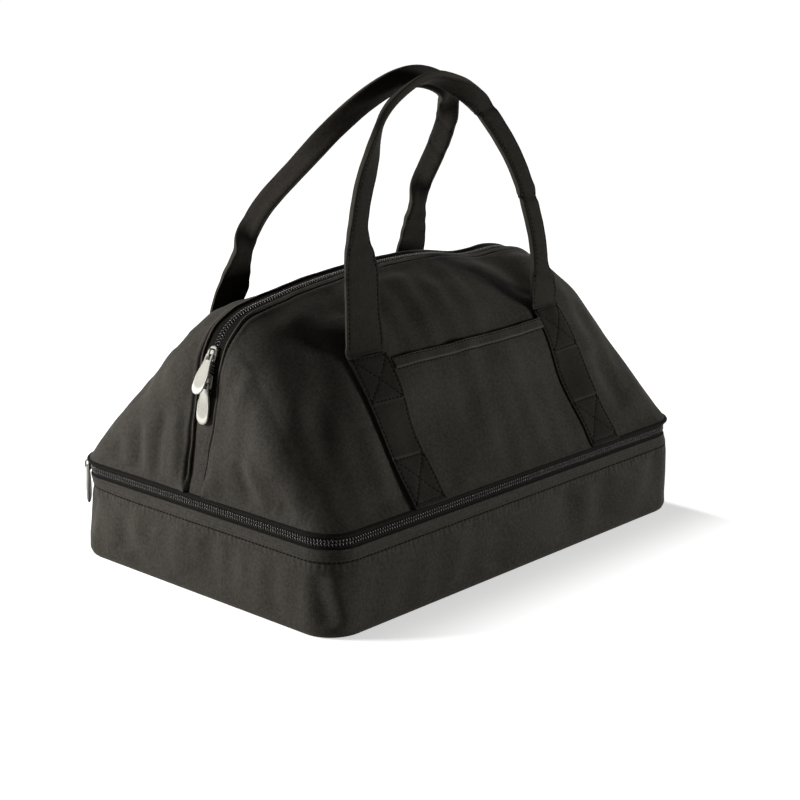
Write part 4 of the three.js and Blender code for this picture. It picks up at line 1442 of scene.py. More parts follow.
@dataclass
class ArchedShell:
    """Arched front and back panels with their linings, the plackets and the ridge zip."""

    tote: ToteShape
    finishes: Finishes
    columns: int = 360

    def _panel(self, side: Side) -> Patch:
        """Outer cloth: the dressed face, rolled under along the zip by half a turn and a short tail.

        Args:
            side: front or back.

        Returns:
            An open patch, painted paler along its rolled edge and drawn up along the rim.
        """
        tote = self.tote
        u = np.linspace(0.004, 0.996, self.columns)
        rows = [np.linspace(0.0, 0.06, 10)[:-1], np.linspace(0.06, 0.93, 96)[:-1], np.linspace(0.93, 1.0, 28)]
        v = np.concatenate(rows)
        points = tote.surface(side, *np.meshgrid(u, v, indexing="ij"))
        edge, out = points[:, -1], tote.out(side, u, np.ones_like(u))
        rise = unit(points[:, -1] - points[:, -3])
        angle = np.linspace(0.25, math.pi, 7)
        turn = rise[:, None] * np.sin(angle)[:, None] - out[:, None] * (1.0 - np.cos(angle))[:, None]
        roll = edge[:, None] + 0.8 * turn
        tail = roll[:, -1:] - rise[:, None] * np.array([1.5, 3.5])[:, None]
        foot, top = tote.line(u)
        height = np.linalg.norm(top - foot, axis=-1)[:, None]
        run = run_along(points[:, 40])[:, None]
        turned_under = roll.shape[1] + tail.shape[1]
        share = np.concatenate([v, np.ones(turned_under)])
        grid = (len(u), len(share))
        uv = np.stack([np.broadcast_to(run, grid), height * share], -1)
        paled = bell((1.0 - v) * 170.0, 1.6)
        rub = 0.55 * np.concatenate([paled, np.ones(3), np.zeros(turned_under - 3)])
        drawn = 0.3 * bell(height * share - 5.0, 4.0) * (share < 0.99)
        points = np.concatenate([points, roll, tail], 1)
        return Patch(points, uv=uv, rub=np.broadcast_to(rub, grid), drawn=drawn, flip=side is Side.BACK)

    def _lining(self, side: Side) -> Patch:
        """Lining under the cloth: the dressed face, a little further in."""
        u, v = np.meshgrid(np.linspace(0.05, 0.95, 90), np.linspace(0.09, 0.98, 40), indexing="ij")
        return Patch(self.tote.surface(side, u, v, -3.4), flip=side is Side.FRONT)

    def _ribbon(self, low: float, high: float, profile: Array, count: int) -> Patch:
        """Closed profile of y and height, carried along the ridge between two runs."""
        line, out = self.tote.ridge(np.linspace(low, high, count))
        return swept(line, ACROSS, out, profile)

    def _placket(self, low: float, high: float) -> Patch:
        """Cloth strip below the zip: a crown of 1 - y^4 between the two panel edges, wavering in x.

        Args:
            low: run at its start.
            high: run at its end.

        Returns:
            A capped strip.
        """
        y = np.linspace(-13.5, 13.5, 30)
        crown = np.clip(1.0 - (y / 10.5) ** 4, 0.0, 1.0)
        face = np.stack([y, -2.4 + 1.3 * crown], -1)
        patch = self._ribbon(low, high, thin_section(face, (0.0, -0.9)), 70)
        patch.points[..., 0] += 0.35 * np.sin(patch.points[..., 2] * 0.13)
        return patch

    def _tape(self, side: Side) -> Patch:
        """One tape of the ridge zip: a flat rounded strip beside the chain.

        Args:
            side: front or back.

        Returns:
            A capped strip.
        """
        ring = rounded_ring(5.6, 0.45, 0.3, 16) + np.array([side.value * 7.7, -1.6])
        start = self.tote.zip_start - 4.0
        return self._ribbon(start, self.tote.zip_length - start, ring, 260)

    def _coil(self, side: Side) -> Patch:
        """One half of the ridge zip's coil, shifted along at the back so that the halves mesh.

        Args:
            side: front or back.

        Returns:
            A capped wire.
        """
        start = self.tote.zip_start
        phase = 1.35 if side is Side.BACK else 0.0
        line, out = self.tote.ridge(np.linspace(start, self.tote.zip_length - start, 700) + phase)
        across = side.value * ACROSS
        return RIDGE_COIL.wind(line + across * 1.4 + out * -1.2, across, out)

    def _edge_seam(self, side: Side) -> Patch:
        """Stitches along the panel's edge beside the plackets and the zip.

        Args:
            side: front or back.

        Returns:
            A stack of stitches.
        """
        u = np.linspace(0.03, 0.97, 700)
        foot, top = self.tote.line(u)
        v = 1.0 - 2.7 / np.linalg.norm(top - foot, axis=-1)
        return self.tote.seam(side, u, v, 0.12)

    def build(self) -> None:
        """Make and dress all pieces of the arched shell."""
        f, lid, tote = self.finishes, Body.LID, self.tote
        for side in Side:
            name, zipper = f"{side.word}_panel", f"top_zip_{side.word}"
            make_piece(f"{name}_cloth", [self._panel(side)], f.cloth, lid, [name])
            make_piece(f"{name}_foil", [self._lining(side)], f.foil, lid, [f"{name}_lining"])
            make_piece(f"{name}_stitches", [self._edge_seam(side)], f.thread, lid)
            tape, coil = [f"{zipper}_tape"], [f"{zipper}_coil"]
            make_piece(f"{zipper}_tape_woven", [self._tape(side)], f.tape, lid, tape)
            make_piece(f"{zipper}_coil_wire", [self._coil(side)], f.coil, lid, coil)
        end, whole = tote.zip_start, tote.zip_length
        for name, low, high in (("left_placket", 0.0, end), ("right_placket", whole - end, whole)):
            make_piece(f"{name}_cloth", [self._placket(low, high)], f.cloth, lid, [name])


@dataclass(frozen=True)
class LoopTwist:
    """Turn of a loop's width: one on each leg from a level up, and one at the top, in degrees."""

    left: Point  # turn of the left leg, and the levels between which it sets in
    right: Point
    top: float
    left_top: Pair  # levels between which the left leg goes over to the top's turn
    right_top: Pair

    def at(self, middle: Array) -> Array:
        """Angles along the loop: smooth steps of the level, on each leg and then to the top's turn.

        Args:
            middle: points of the loop's middle line, count by 3.

        Returns:
            Angles in radians.
        """
        turns = []
        for (turn, low, high), top in ((self.left, self.left_top), (self.right, self.right_top)):
            leg = turn * ease(middle[:, 2], low, high)
            turns.append(leg + (self.top - leg) * ease(middle[:, 2], *top))
        return np.radians(np.where(middle[:, 0] < 0.0, turns[0], turns[1]))


# Places of the free loops, from the right leg's seat to the middle, with y below 0 outwards.
LOOPS = {
    Side.FRONT: (
        (113.1, -82.4, 203.0), (113.6, -81.4, 222.0), (112.6, -79.3, 252.0),
        (106.3, -72.7, 290.0), (96.0, -66.2, 318.5), (82.0, -60.4, 343.0), (55.0, -51.4, 378.0),
        (31.5, -49.4, 392.0), (0.0, -48.8, 400.5),
    ),
    Side.BACK: (
        (112.6, -81.8, 203.0), (110.0, -73.4, 225.0), (106.6, -64.6, 247.0),
        (100.6, -46.2, 288.0), (87.3, -19.2, 327.0), (67.7, 9.4, 365.0), (48.5, 24.0, 385.0),
        (16.4, 29.0, 398.0), (0.0, 30.0, 400.0),
    ),
}

# Levels between which the left and the right leg of each loop fold lengthwise.
LOOP_FOLDS = {
    Side.FRONT: ((258.0, 300.0), (206.0, 238.0)),
    Side.BACK: ((214.0, 262.0), (222.0, 285.0)),
}

LOOP_TWISTS = {
    Side.FRONT: LoopTwist((0.0, 220.0, 290.0), (0.0, 220.0, 290.0), -64.0, (325.0, 396.0), (374.0, 400.0)),
    Side.BACK: LoopTwist((-78.0, 256.0, 280.0), (80.0, 274.0, 302.0), -8.0, (322.0, 396.0), (352.0, 398.0)),
}

# Sharp cross creases of each loop: the sign of the leg's x, the level and the depth.
LOOP_KINKS = {
    Side.FRONT: ((1, 369.0, 1.5), (1, 292.0, 1.7), (-1, 262.0, 0.6)),
    Side.BACK: ((1, 372.0, 0.9), (1, 352.0, 0.8), (1, 328.0, 0.7)),
}

# How a cross crease widens and narrows the strap: share, level over the crease and height.
KINK_PINCH = ((0.05, 5.0, 4.0), (-0.03, 0.0, 2.5))


@dataclass
class CarryStrap:
    """Carrying strap of one side: two sewn legs with boxed crosses, and the free loop above them."""

    tote: ToteShape
    finishes: Finishes
    side: Side
    half_wide: float = 19.0
    half_thick: float = 1.25
    seat: float = 0.6
    spacing: float = 113.0
    foot: float = 83.6
    top: float = 192.0
    cut: float = 0.4  # how far below the top a leg ends and its loop begins
    edge: float = 16.3
    boxes: tuple[Pair, ...] = ((86.5, 118.0), (160.0, 190.0))
    sewn_width: float = 0.9
    seat_y: float = -84.694
    seat_z: float = 194.376
    grip_wide: float = 9.4
    grip_thick: float = 3.5
    stitch_in: float = 2.7

    def _sewn(self, x: Array, z: Array, middle: float) -> Array:
        """Dip of the strap's top where it is sewn down: along both edges, round the boxes and crosses.

        Args:
            x: places across.
            z: levels.
            middle: x of the leg's middle line.

        Returns:
            Dips, below 0, in the shape of x.
        """
        dip = bell(np.abs(x - middle) - self.edge, self.sewn_width)
        for low, high in self.boxes:
            within = ease(z, low - 2.0, low) * ease(-z, -high - 2.0, -high)
            share = (z - low) / (high - low)
            for slope in (share, 1.0 - share):
                dip = dip + within * bell(x - middle - self.edge * (2.0 * slope - 1.0), 1.3)
            dip = dip + bell(z - low, self.sewn_width) + bell(z - high, self.sewn_width)
        return -0.45 * np.clip(dip, 0.0, 1.0)

    def _leg(self, middle: float) -> Patch:
        """Sewn leg: a flat section with rounded edges that follows the panel, dipped along its stitches.

        Args:
            middle: x of its middle line.

        Returns:
            A capped patch, painted paler along its edges, with painted highlight lines across just past the
            inner ends of the boxes.
        """
        flat = np.linspace(18.2, -18.2, 46)
        edge = np.array([[18.8, 1.0], [19.0, 0.3], [18.9, -0.8], [17.0, -1.25]])
        top = np.stack([flat, np.full_like(flat, self.half_thick)], -1)
        ring = np.concatenate([top, edge * np.array([-1.0, 1.0]), edge[::-1]])
        level = np.linspace(self.foot, self.top - self.cut, 150)
        x = np.broadcast_to(middle + ring[:, 0], (len(level), len(ring)))
        z = np.broadcast_to(level[:, None], x.shape)
        crown = 0.25 * (1.0 - (ring[:, 0] / self.half_wide) ** 2)
        upper = ring[:, 1] > 0.9
        over = self.seat + self.half_thick + ring[:, 1]
        over = over + np.where(upper, crown + self._sewn(x, z, middle), 0.0)
        # Painted highlight lines across the strap just past the inner ends of the boxes, where its layers
        # end.
        between = bell(z - self.boxes[0][1] - 1.5, 0.8) + bell(z - self.boxes[1][0] + 1.5, 0.8)
        rub = 0.5 * bell(np.abs(ring[:, 0]) - 18.7, 0.5) + 0.35 * between
        points = self.tote.surface(self.side, *self.tote.find(x, z), over)
        return Patch(points, ring_columns=True, cap=True, rub=np.clip(rub, 0.0, 1.0) * upper)

    def _leg_stitches(self, middle: float) -> list[Patch]:
        """Stitches on one leg: both edges, and a box with a cross at its foot and its top.

        Args:
            middle: x of the leg's middle line.

        Returns:
            One stack of stitches for each row.
        """
        e, foot = self.edge, self.foot + 1.0
        lines = [((-e, foot), (-e, self.top)), ((e, foot), (e, self.top))]
        for low, high in self.boxes:
            lines += [((-e, low), (e, low)), ((-e, high), (e, high))]
            lines += [((-e, low), (e, high)), ((-e, high), (e, low))]
        over = self.seat + 2.0 * self.half_thick - 0.12
        rows = []
        for (x0, z0), (x1, z1) in lines:
            u, v = self.tote.find(middle + np.linspace(x0, x1, 60), np.linspace(z0, z1, 60))
            rows.append(self.tote.seam(self.side, u, v, over))
        return rows

    def _loop_frame(self, count: int) -> tuple[Array, Array, Array, Array]:
        """Middle line of a free loop, its width and thickness directions and its fold.

        The line is a smooth path through the loop's places, once up the left leg and once down the
        right one. The fold is a smooth step of the level, and the width turns by smooth steps up the legs.

        Args:
            count: points along the loop.

        Returns:
            Points, width directions, thickness directions and fold shares.
        """
        x = self.spacing + np.array([-18.0, 18.0, 0.0, 0.0])
        z = self.top - self.cut - np.array([0.0, 0.0, 0.0, 4.0])
        leg = self.tote.surface(Side.FRONT, *self.tote.find(x, z), self.seat + self.half_thick)
        rise = unit(leg[2] - leg[3])
        half = np.concatenate([leg[2:3], leg[2:3] + 3.2 * rise, np.array(LOOPS[self.side])])
        middle = smooth_path(np.concatenate([half * np.array([-1.0, 1.0, 1.0]), half[-2::-1]]), count)
        forward = unit(np.gradient(middle, axis=0))
        across = unit(ACROSS - forward * forward[:, 1:2])
        inward = np.cross(across, forward)
        left, right = LOOP_FOLDS[self.side]
        z = middle[:, 2]
        fold = np.where(middle[:, 0] < 0.0, ease(z, *left), ease(z, *right))
        twist = LOOP_TWISTS[self.side].at(middle)[:, None]
        wide = -np.cos(twist) * inward + np.sin(twist) * across
        flat = unit(leg[1] - leg[0]) * np.stack([np.sign(middle[:, 0]), 0 * z + 1.0, 0 * z + 1.0], -1)
        wide = wide + (flat - wide) * (1.0 - ease(z, self.top, self.top + 45.0))[:, None]
        wide = unit(wide - forward * (wide * forward).sum(-1, keepdims=True))
        spare = (self.half_wide - self.grip_wide) * fold * (1.0 - ease(z, 270.0, 350.0))
        aside = 0.55 * spare * np.sign(-middle[:, 0])
        return middle + wide * aside[:, None], wide, np.cross(forward, wide), fold

    def _loop(self) -> Patch:
        """Free loop: a flat strap at its legs that folds lengthwise to a rounded grip.

        The section is a superellipse between the flat strap and the grip, with a groove where the
        folded edges meet on the underside, dips along its stitches, crosswise wrinkles where the fold
        begins, which are sines of the level, and sharp creases, which are bells of it.

        Returns:
            A capped patch, painted paler along its edges.
        """
        middle, wide, thick, fold = self._loop_frame(460)
        angle = np.linspace(0.0, FULL_TURN, 56, endpoint=False)
        cos, sin = np.cos(angle), np.sin(angle)
        f, level = fold[:, None], middle[:, 2:3]
        power = 0.14 + 0.3 * f
        half_wide = self.half_wide + (self.grip_wide - self.half_wide) * f
        half_thick = self.half_thick + (self.grip_thick - self.half_thick) * f
        w = half_wide * signed_power(cos, power)
        t = half_thick * signed_power(sin, power)
        groove = 1.2 * f * bell(w + 1.5, 1.5) * (sin < 0)
        sewn = -0.4 * bell(np.abs(w) - (half_wide - self.stitch_in), self.sewn_width)
        sewn = sewn * (sin > 0) * (1.0 - 0.5 * f)
        run = level + 0.35 * w
        zone = 0.8 * np.clip(4.0 * f * (1.0 - f), 0.0, 1.0) + 0.15
        crinkle = zone * (0.9 * np.sin(run * 0.42 + 0.7) + 0.6 * np.sin(run * 0.27 - w * 0.2))
        t = t + groove + sewn + 0.5 * crinkle
        for sign, place, depth in LOOP_KINKS[self.side]:
            leg = (np.sign(middle[:, :1]) == sign) * depth
            t = t - leg * bell(level + 0.4 * w - place, 2.4) * np.sign(sin) * 0.9
            w = w * (1.0 + leg * bells(level - place, KINK_PINCH))
        points = middle[:, None] + wide[:, None] * w[..., None] + thick[:, None] * t[..., None]
        rub = 0.5 * np.broadcast_to(bell(cos**2 - 1.0, 0.12), w.shape)
        return Patch(points * self.side.mirror, ring_columns=True, cap=True, rub=rub)

    def _loop_stitches(self) -> list[Patch]:
        """Stitches along both edges of the loop, on both of its faces.

        Returns:
            One stack of stitches for each row.
        """
        middle, wide, thick, fold = self._loop_frame(800)
        half = self.half_wide + (self.grip_wide - self.half_wide) * fold - self.stitch_in
        high = self.half_thick + (self.grip_thick - self.half_thick) * (0.86 * fold) - 0.2
        free, mirror = slice(10, -10), self.side.mirror
        rows = []
        for sign in (-1.0, 1.0):
            for face in (-1.0, 1.0):
                line = middle + wide * (sign * half)[:, None] + face * thick * high[:, None]
                rows.append(SEAM.row((line * mirror)[free], face * (thick * mirror)[free]))
        return rows

    def build(self) -> None:
        """Make and dress the legs and the loop."""
        f, lid, word = self.finishes, Body.LID, self.side.word
        for end, middle in (("left", -self.spacing), ("right", self.spacing)):
            name = f"{word}_{end}_strap"
            make_piece(f"{name}_leg", [self._leg(middle)], f.strap, lid, [name])
            make_piece(f"{name}_stitches", self._leg_stitches(middle), f.thread, lid)
        name, y = f"{word}_handle", -self.side.value * self.seat_y
        start, stop = ((0.0, y, self.seat_z + rise) for rise in (-0.5, 9.0))
        bend = Bend(lid, Body(name), start, stop)
        make_piece(f"{name}_loop", [self._loop()], f.strap, bend, [name])
        make_piece(f"{name}_stitches", self._loop_stitches(), f.thread, bend)


@dataclass
class FrontPocket:
    """Flat pocket between the front legs, with a raised hem along its mouth."""

    tote: ToteShape
    finishes: Finishes
    half_wide: float = 93.9
    foot: float = 83.6
    top: float = 186.0
    waves: Waves = Waves(17, 0.7, 18.0, 60.0, stretch=0.4)
    hem: float = 7.5
    hem_puff: tuple[Point, ...] = ((0.5, -2.6, 1.2), (-0.3, 0.6, 1.6))
    # painted highlights along the hem's two lips: height, place across and width
    hem_highlight: tuple[Point, ...] = ((0.4, -3.1, 0.9), (0.3, 3.4, 0.6))

    def _over(self, x: Array, z: Array) -> Array:
        """Height of the pocket over the panel: slack by 1 - x^2 towards its middle and its mouth.

        Args:
            x: places across.
            z: levels.

        Returns:
            Heights in the shape of x.
        """
        middle = np.clip(1.0 - (x / self.half_wide) ** 2, 0.0, 1.0)
        rise = np.clip((z - self.foot) / (self.top - self.foot), 0.0, 1.0)
        waves = self.waves.at(np.stack([x, 0 * x, z], -1))
        return 1.5 + middle * (1.0 + 1.6 * rise + waves * ease(rise, 0.0, 0.3))

    def _on_panel(self, x: Array, z: Array, over: Array) -> Array:
        """Points of the front panel's cloth at x and z, at a height over it."""
        return self.tote.surface(Side.FRONT, *self.tote.find(x, z), over)

    def _cloth(self) -> Patch:
        """Pocket cloth: the panel's face at the pocket's height, rolled over at the mouth.

        Returns:
            An open patch.
        """
        x = np.linspace(-self.half_wide, self.half_wide, 170)
        level = np.linspace(self.foot, self.top - 1.0, 110)
        z = np.concatenate([level, self.top - np.array([0.4, 0.0, 0.4, 4.0])])
        rolled = np.concatenate([np.zeros_like(level), np.array([0.1, 0.5, 0.9, 1.0])])
        x, z = np.meshgrid(x, z, indexing="ij")
        return Patch(self._on_panel(x, z, self._over(x, z) - rolled))

    def _hem(self) -> Patch:
        """Hem band: a puffed section along the mouth, held down by its two rows of stitches.

        The section is a superellipse, with bells across its upper face.

        Returns:
            A capped patch, with painted highlights along both of its lips.
        """
        ring = rounded_ring(self.hem / 2.0, 1.0, 0.35, 28)
        x = np.linspace(-self.half_wide, self.half_wide, 200)
        x = np.broadcast_to(x[:, None], (len(x), len(ring)))
        z = np.broadcast_to(self.top - self.hem / 2.0 + 0.7 + ring[:, 0], x.shape)
        puff = np.where(ring[:, 1] > 0.3, bells(ring[:, 0], self.hem_puff), 0.0)
        points = self._on_panel(x, z, self._over(x, z) + 1.1 + ring[:, 1] + puff)
        # Painted highlights along the hem's lower and upper lip, on its outer face.
        rub = np.clip(bells(ring[:, 0], self.hem_highlight), 0.0, 1.0) * (ring[:, 1] > -0.3)
        return Patch(points, ring_columns=True, cap=True, rub=np.broadcast_to(rub, x.shape))

    def _stitches(self) -> list[Patch]:
        """Stitches along both edges of the hem.

        Returns:
            One stack of stitches for each row.
        """
        x = np.linspace(-self.half_wide + 1.0, self.half_wide - 1.0, 300)
        rows = []
        for level in (self.top - self.hem + 0.1, self.top - 0.5):
            z = np.full_like(x, level)
            over = self._over(x, z) + 1.95
            rows.append(self.tote.seam(Side.FRONT, *self.tote.find(x, z), over))
        return rows

    def build(self) -> None:
        """Make and dress the pocket."""
        f, lid = self.finishes, Body.LID
        make_piece("pocket_cloth", [self._cloth()], f.cloth, lid, ["pocket_panel"])
        make_piece("pocket_hem_band", [self._hem()], f.cloth, lid, ["pocket_hem"])
        make_piece("pocket_stitches", self._stitches(), f.thread, lid)


@dataclass(frozen=True)
class SliderPlace:
    """Where a slider sits: its travel frame on the zip, and how its pull leans."""

    name: str
    at: Point
    yaw: float
    tilt: float
    shell_turn: float
    lean: float

    def world(self, local: Array) -> Array:
        """Turn local points about y by the tilt and about z by the yaw, and move them into place.

        Args:
            local: points in the slider's own frame.

        Returns:
            Points of the carrier.
        """
        x, y, z = np.moveaxis(local, -1, 0)
        z, x = turned(z, x, self.tilt)
        x, y = turned(x, y, self.yaw)
        return np.stack([x, y, z], -1) + np.array(self.at)


SLIDERS = (
    SliderPlace("upper_slider", (-199.951, 0.0, 196.161), 0.0,
                math.radians(22.0), math.pi, math.radians(8.0)),
    SliderPlace("lower_slider", (-205.323, 0.0, 174.5), 0.0,
                math.radians(11.9), 0.0, math.radians(-2.0)),
    SliderPlace("base_slider", (-211.923, 145.801, 76.5),
                math.radians(-52.0), 0.0, math.pi / 2.0, 0.0),
)


@dataclass
class ZipSlider:
    """Cast slider with its bridge, and the teardrop pull that hangs in it.

    In its own frame x points into the tote, y across the zip and z along it.
    """

    place: SliderPlace
    finishes: Finishes
    half_length: float = 6.5
    outer: float = -0.5
    inner: float = 4.2
    pull_length: float = 34.0
    pull_half: float = 6.5
    neck_half: float = 3.7
    thick: float = 1.8

    def _plate(self, low: float, high: float) -> Patch:
        """Shield-shaped plate with rounded edges: a superellipse that is narrower at its tail.

        Args:
            low: x of its outer face.
            high: x of its inner face.

        Returns:
            A closed patch.
        """
        angle = np.linspace(0.0, FULL_TURN, 64, endpoint=False)
        z = self.half_length * signed_power(np.sin(angle), 0.6)
        half = 4.75 + 0.75 * z / self.half_length
        y = half * signed_power(np.cos(angle), 0.6)
        edge = min(0.5, (high - low) / 2.2)
        rows = np.array([
            (0.03, low), (0.7, low + 0.02), (0.9, low + 0.12), (0.97, low + edge * 0.5), (1.0, low + edge),
            (1.0, high - edge), (0.97, high - edge * 0.5), (0.9, high - 0.06), (0.6, high), (0.03, high),
        ])
        x = np.broadcast_to(rows[:, 1:], (len(rows), len(angle)))
        points = np.stack([x, rows[:, :1] * y, rows[:, :1] * z], -1)
        return Patch(points, ring_columns=True, cap=True)

    def _shell(self, patch: Patch) -> Patch:
        """Turn a piece of the shell about x, because a slider may lie across its bridge."""
        x, y, z = np.moveaxis(patch.points, -1, 0)
        return replace(patch, points=np.stack([x, *turned(y, z, self.place.shell_turn)], -1))

    def _bar(self, low: Point, high: Point) -> Patch:
        """Small cast block with rounded edges: a superellipse section swept through its depth.

        Args:
            low: its lowest corner.
            high: its highest corner.

        Returns:
            A closed patch.
        """
        a, b = np.array(low), np.array(high)
        half = (b - a) / 2.0
        share = np.array([-1.0, -0.9, -0.6, 0.6, 0.9, 1.0])
        size = np.array([0.8, 0.96, 1.0, 1.0, 0.96, 0.8])[:, None]
        ring = rounded_ring(1.0, 1.0, 0.35, 16)
        x = np.broadcast_to((share * half[0])[:, None], (len(share), len(ring)))
        points = np.stack([x, size * ring[:, 0] * half[1], size * ring[:, 1] * half[2]], -1)
        return Patch(points + (a + b) / 2.0, ring_columns=True, cap=True)

    def _bridge(self) -> Patch:
        """Arched bridge over the outer plate: a rounded bar along half a superellipse.

        Returns:
            A capped bar.
        """
        angle = np.linspace(math.pi, 0.0, 40)
        z = 3.6 * signed_power(np.cos(angle), 0.55)
        x = self.outer - 0.9 - 3.9 * np.sin(angle) ** 0.55
        line = np.stack([x, 0.0 * x, z], -1)
        forward = unit(np.gradient(line, axis=0))
        return swept(line, ACROSS, np.cross(forward, ACROSS), rounded_ring(1.15, 0.72, 0.6, 14))

    def _pull(self) -> Patch:
        """Teardrop pull: a ring-shaped sheet from its eye out to its rim and back underneath.

        The outline's half width goes from the neck to the round end by a smooth step, with a circle
        at each end, and the eye is a superellipse. Each row is a share of the way from the eye to the
        outline, at a height; the rim is rounded, and the face is dished a little inside it.

        Returns:
            A closed ring, painted paler along its rim and its eye, partly polish and partly painted
            highlight.
        """
        angle = np.linspace(0.0, FULL_TURN, 120, endpoint=False)
        top, bottom = 0.8, 0.8 - self.pull_length
        middle = (top + bottom) / 2.0
        z = middle + (top - middle) * signed_power(np.cos(angle), 0.82)
        half = self.neck_half + (self.pull_half - self.neck_half) * ease(-z, 3.0, 20.0)
        below = np.clip((bottom + self.pull_half - z) / self.pull_half, 0, 1)
        above = np.clip((z - top + 1.6) / 1.6, 0, 1)
        low_cap, top_cap = (np.sqrt(np.clip(1.0 - part**2, 0, 1)) for part in (below, above))
        y = np.sign(np.sin(angle)) * half * low_cap * (0.45 + 0.55 * top_cap)
        eye_y = 1.9 * signed_power(np.sin(angle), 0.35)
        eye_z = -2.7 + 1.9 * signed_power(np.cos(angle), 0.35)
        t = self.thick / 2.0
        rows = np.array([
            (0.0, 0.75 * t), (0.06, t), (0.5, t - 0.12), (0.78, t - 0.12), (0.86, t), (0.94, t),
            (0.985, 0.7 * t), (1.0, 0.25 * t), (1.0, -0.25 * t), (0.985, -0.7 * t), (0.94, -t),
            (0.5, -t), (0.06, -t), (0.0, -0.75 * t),
        ])
        k = rows[:, :1]
        x = np.broadcast_to(-rows[:, 1:], (len(rows), len(angle)))
        y, z = eye_y + (y - eye_y) * k, eye_z + (z - eye_z) * k
        z, x = turned(z, x, self.place.lean)
        points = np.stack([x, y, z], -1) + np.array([self.outer - 2.75, 0.0, -1.4])
        rim = np.broadcast_to(ease(k, 0.8, 0.9) + ease(-k, -0.08, -0.02), x.shape)
        return Patch(points, ring_rows=True, ring_columns=True, rub=rim)

    def build(self) -> None:
        """Make and dress the slider and its pull."""
        place, metal, outer, inner = self.place, self.finishes.nickel, self.outer, self.inner
        cast = [
            self._plate(outer - 1.4, outer),
            self._plate(inner, inner + 1.2),
            self._bar((outer - 0.5, -0.3, 2.3), (inner + 0.5, 0.3, 5.5)),
            self._bar((outer - 0.4, 3.2, -4.8), (0.7, 4.0, 1.6)),
            self._bar((outer - 0.4, -4.0, -4.8), (0.7, -3.2, 1.6)),
        ]
        cast = [self._shell(patch) for patch in cast] + [self._bridge()]
        pull = [self._pull()]
        for patch in cast + pull:
            patch.points = place.world(patch.points)
        name, tab = place.name, f"{place.name}_pull"
        make_piece(f"{name}_cast", cast, metal, Body(name), [name], 40.0)
        body = Body(name.replace("slider", "pull"))
        make_piece(f"{tab}_tab", pull, metal, body, [tab], 50.0)


@dataclass
class Studio:
    """White paper sweep, soft boxes and the camera of the photograph, in metres."""

    finishes: Finishes
    azimuth: float = math.radians(-47.22)
    elevation: float = math.radians(15.81)
    place: Point = (-1.18925, -1.11632, 0.57874)
    lens: float = 87.26

    def _stand(self, name: str, data: bpy.types.ID, at: Point, back: Array) -> bpy.types.Object:
        """Stand a lamp or a camera at a place, level, with its back turned one way.

        Args:
            name: its name.
            data: the lamp's or the camera's own data.
            at: its place.
            back: direction away from what it looks at.

        Returns:
            The new object.
        """
        right = unit(np.cross(UP, back))
        turn = np.eye(4)
        turn[:3] = np.stack([right, np.cross(back, right), back, np.array(at)], -1)
        thing = bpy.data.objects.new(name, data)
        thing.matrix_world = Matrix(turn.tolist())
        bpy.context.scene.collection.objects.link(thing)
        return thing

    def _camera(self) -> None:
        """Stand the camera at the photograph's viewing angle."""
        data = bpy.data.cameras.new("camera")
        data.lens, data.sensor_width, data.clip_end = self.lens, 36.0, 60.0
        a, e = self.azimuth, self.elevation
        back = np.array([math.sin(a) * math.cos(e), -math.cos(a) * math.cos(e), math.sin(e)])
        bpy.context.scene.camera = self._stand("camera", data, self.place, back)

    def _lamp(self, name: str, at: Point, size: Pair, power: float) -> None:
        """Hang a soft box that looks at the middle of the carrier.

        Args:
            name: its name.
            at: its place.
            size: its width and height.
            power: its power in watts.
        """
        data = bpy.data.lights.new(name, "AREA")
        data.shape = "RECTANGLE"
        data.size, data.size_y, data.energy = *size, power
        self._stand(name, data, at, unit(np.array(at) - np.array([0.0, 0.0, 0.15])))

    def _world(self) -> None:
        """White surroundings for the eye and for mirrors, and a low even light for the rest."""
        world = bpy.data.worlds.new("studio")
        world.use_nodes = True
        world.node_tree.nodes.clear()
        add = partial(add_node, world.node_tree)
        level = {"To Min": 0.02, "To Max": 1.0}
        level = add("MapRange", level, {"Value": seen_directly(add)})[0]
        light = add("Background", {"Color": (1.0, 1.0, 1.0, 1.0)}, {"Strength": level})[0]
        add("OutputWorld", {}, {"Surface": light})
        bpy.context.scene.world = world

    def _floor(self) -> None:
        """Lay the paper: one flat sheet, wide enough to fill the view."""
        mesh = bpy.data.meshes.new("paper_floor")
        half = 14.0
        corners = [(-half, -half), (half, -half), (half, half), (-half, half)]
        mesh.from_pydata([(x, y, -0.0004) for x, y in corners], [], [(0, 1, 2, 3)])
        mesh.materials.append(self.finishes.paper)
        floor = bpy.data.objects.new("paper_floor", mesh)
        bpy.context.scene.collection.objects.link(floor)

    def build(self) -> None:
        """Set up floor, surroundings, lamps and camera."""
        bpy.context.scene.view_settings.view_transform = "Standard"
        self._floor()
        self._world()
        self._lamp("key_left", (-1.17, 0.9, 0.56), (0.45, 0.45), 33.0)
        self._lamp("fill_right", (1.9, -2.0, 0.3), (0.8, 0.4), 54.0)
        self._camera()


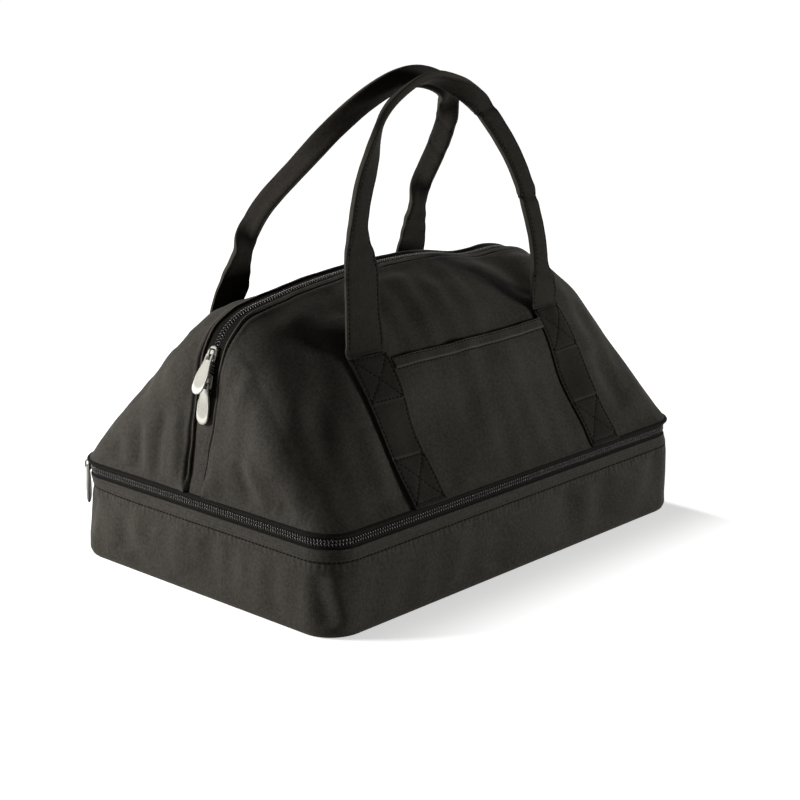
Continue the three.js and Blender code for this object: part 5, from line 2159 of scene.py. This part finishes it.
# Folds as shares u, v and u, v of the panel, width and height.
FRONT_FOLDS = (
    ((0.308, 0.79, 0.231, 0.20), 13.0, -3.4),
    ((0.245, 0.72, 0.190, 0.28), 19.0, 2.6),
    ((0.304, 0.36, 0.300, 0.08), 15.0, 1.8),
    ((0.663, 0.956, 0.650, 0.68), 13.0, -3.4),
    ((0.173, 0.82, 0.212, 0.83), 8.0, -2.4),
    ((0.146, 0.50, 0.130, 0.08), 8.0, 2.2),
    ((0.118, 0.52, 0.098, 0.10), 6.5, -1.8),
    ((0.158, 0.14, 0.178, 0.07), 6.0, -1.6),
    ((0.705, 0.40, 0.712, 0.12), 12.0, -2.8),
    ((0.742, 0.20, 0.728, 0.05), 13.0, 2.2),
    ((0.400, 0.86, 0.550, 0.86), 22.0, -1.8),
    ((0.360, 0.97, 0.350, 0.80), 12.0, -1.6),
)

BACK_FOLDS = (
    ((0.154, 0.67, 0.066, 0.12), 5.5, -2.0),
    ((0.166, 0.52, 0.084, 0.09), 7.0, 1.7),
    ((0.172, 0.44, 0.108, 0.09), 6.5, -1.6),
    ((0.180, 0.34, 0.130, 0.09), 9.0, 1.5),
    ((0.190, 0.26, 0.152, 0.09), 8.0, -1.3),
    ((0.143, 0.80, 0.034, 0.45), 6.9, 1.5),
    ((0.150, 0.86, 0.060, 0.62), 9.0, -1.3),
    ((0.235, 0.52, 0.215, 0.22), 13.0, 2.0),
    ((0.262, 0.74, 0.250, 0.66), 15.0, -2.0),
    ((0.337, 0.97, 0.350, 0.70), 15.0, -2.0),
    ((0.663, 0.956, 0.650, 0.68), 14.0, -2.6),
    ((0.450, 0.50, 0.540, 0.14), 26.0, 1.8),
    ((0.620, 0.62, 0.580, 0.14), 22.0, -1.8),
    ((0.780, 0.55, 0.830, 0.12), 13.0, 2.0),
    ((0.810, 0.60, 0.870, 0.12), 10.0, -2.0),
)


def main() -> None:
    """Build every sub-assembly in order, dress what stays of the solid model, and set the studio."""
    logging.basicConfig(level=logging.INFO, format="%(name)s %(message)s")
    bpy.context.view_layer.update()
    finishes = Finishes()
    plain = ToteShape()
    sides = {Side.FRONT: FRONT_FOLDS, Side.BACK: BACK_FOLDS}
    folds = {side: tuple(plain.crease(*fold) for fold in rows) for side, rows in sides.items()}
    tote = replace(plain, folds=folds)
    Studio(finishes).build()
    base = DishBase(tote, finishes)
    base.build()
    LidFloor(tote, finishes, base).build()
    ArchedShell(tote, finishes).build()
    for side in Side:
        CarryStrap(tote, finishes, side).build()
    FrontPocket(tote, finishes).build()
    for place in SLIDERS:
        ZipSlider(place, finishes).build()
    for node in ("base_stiffener_board", "divider_board"):
        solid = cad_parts[node]
        solid.data.materials.clear()
        solid.data.materials.append(finishes.board)


if __name__ == "__main__":
    main()
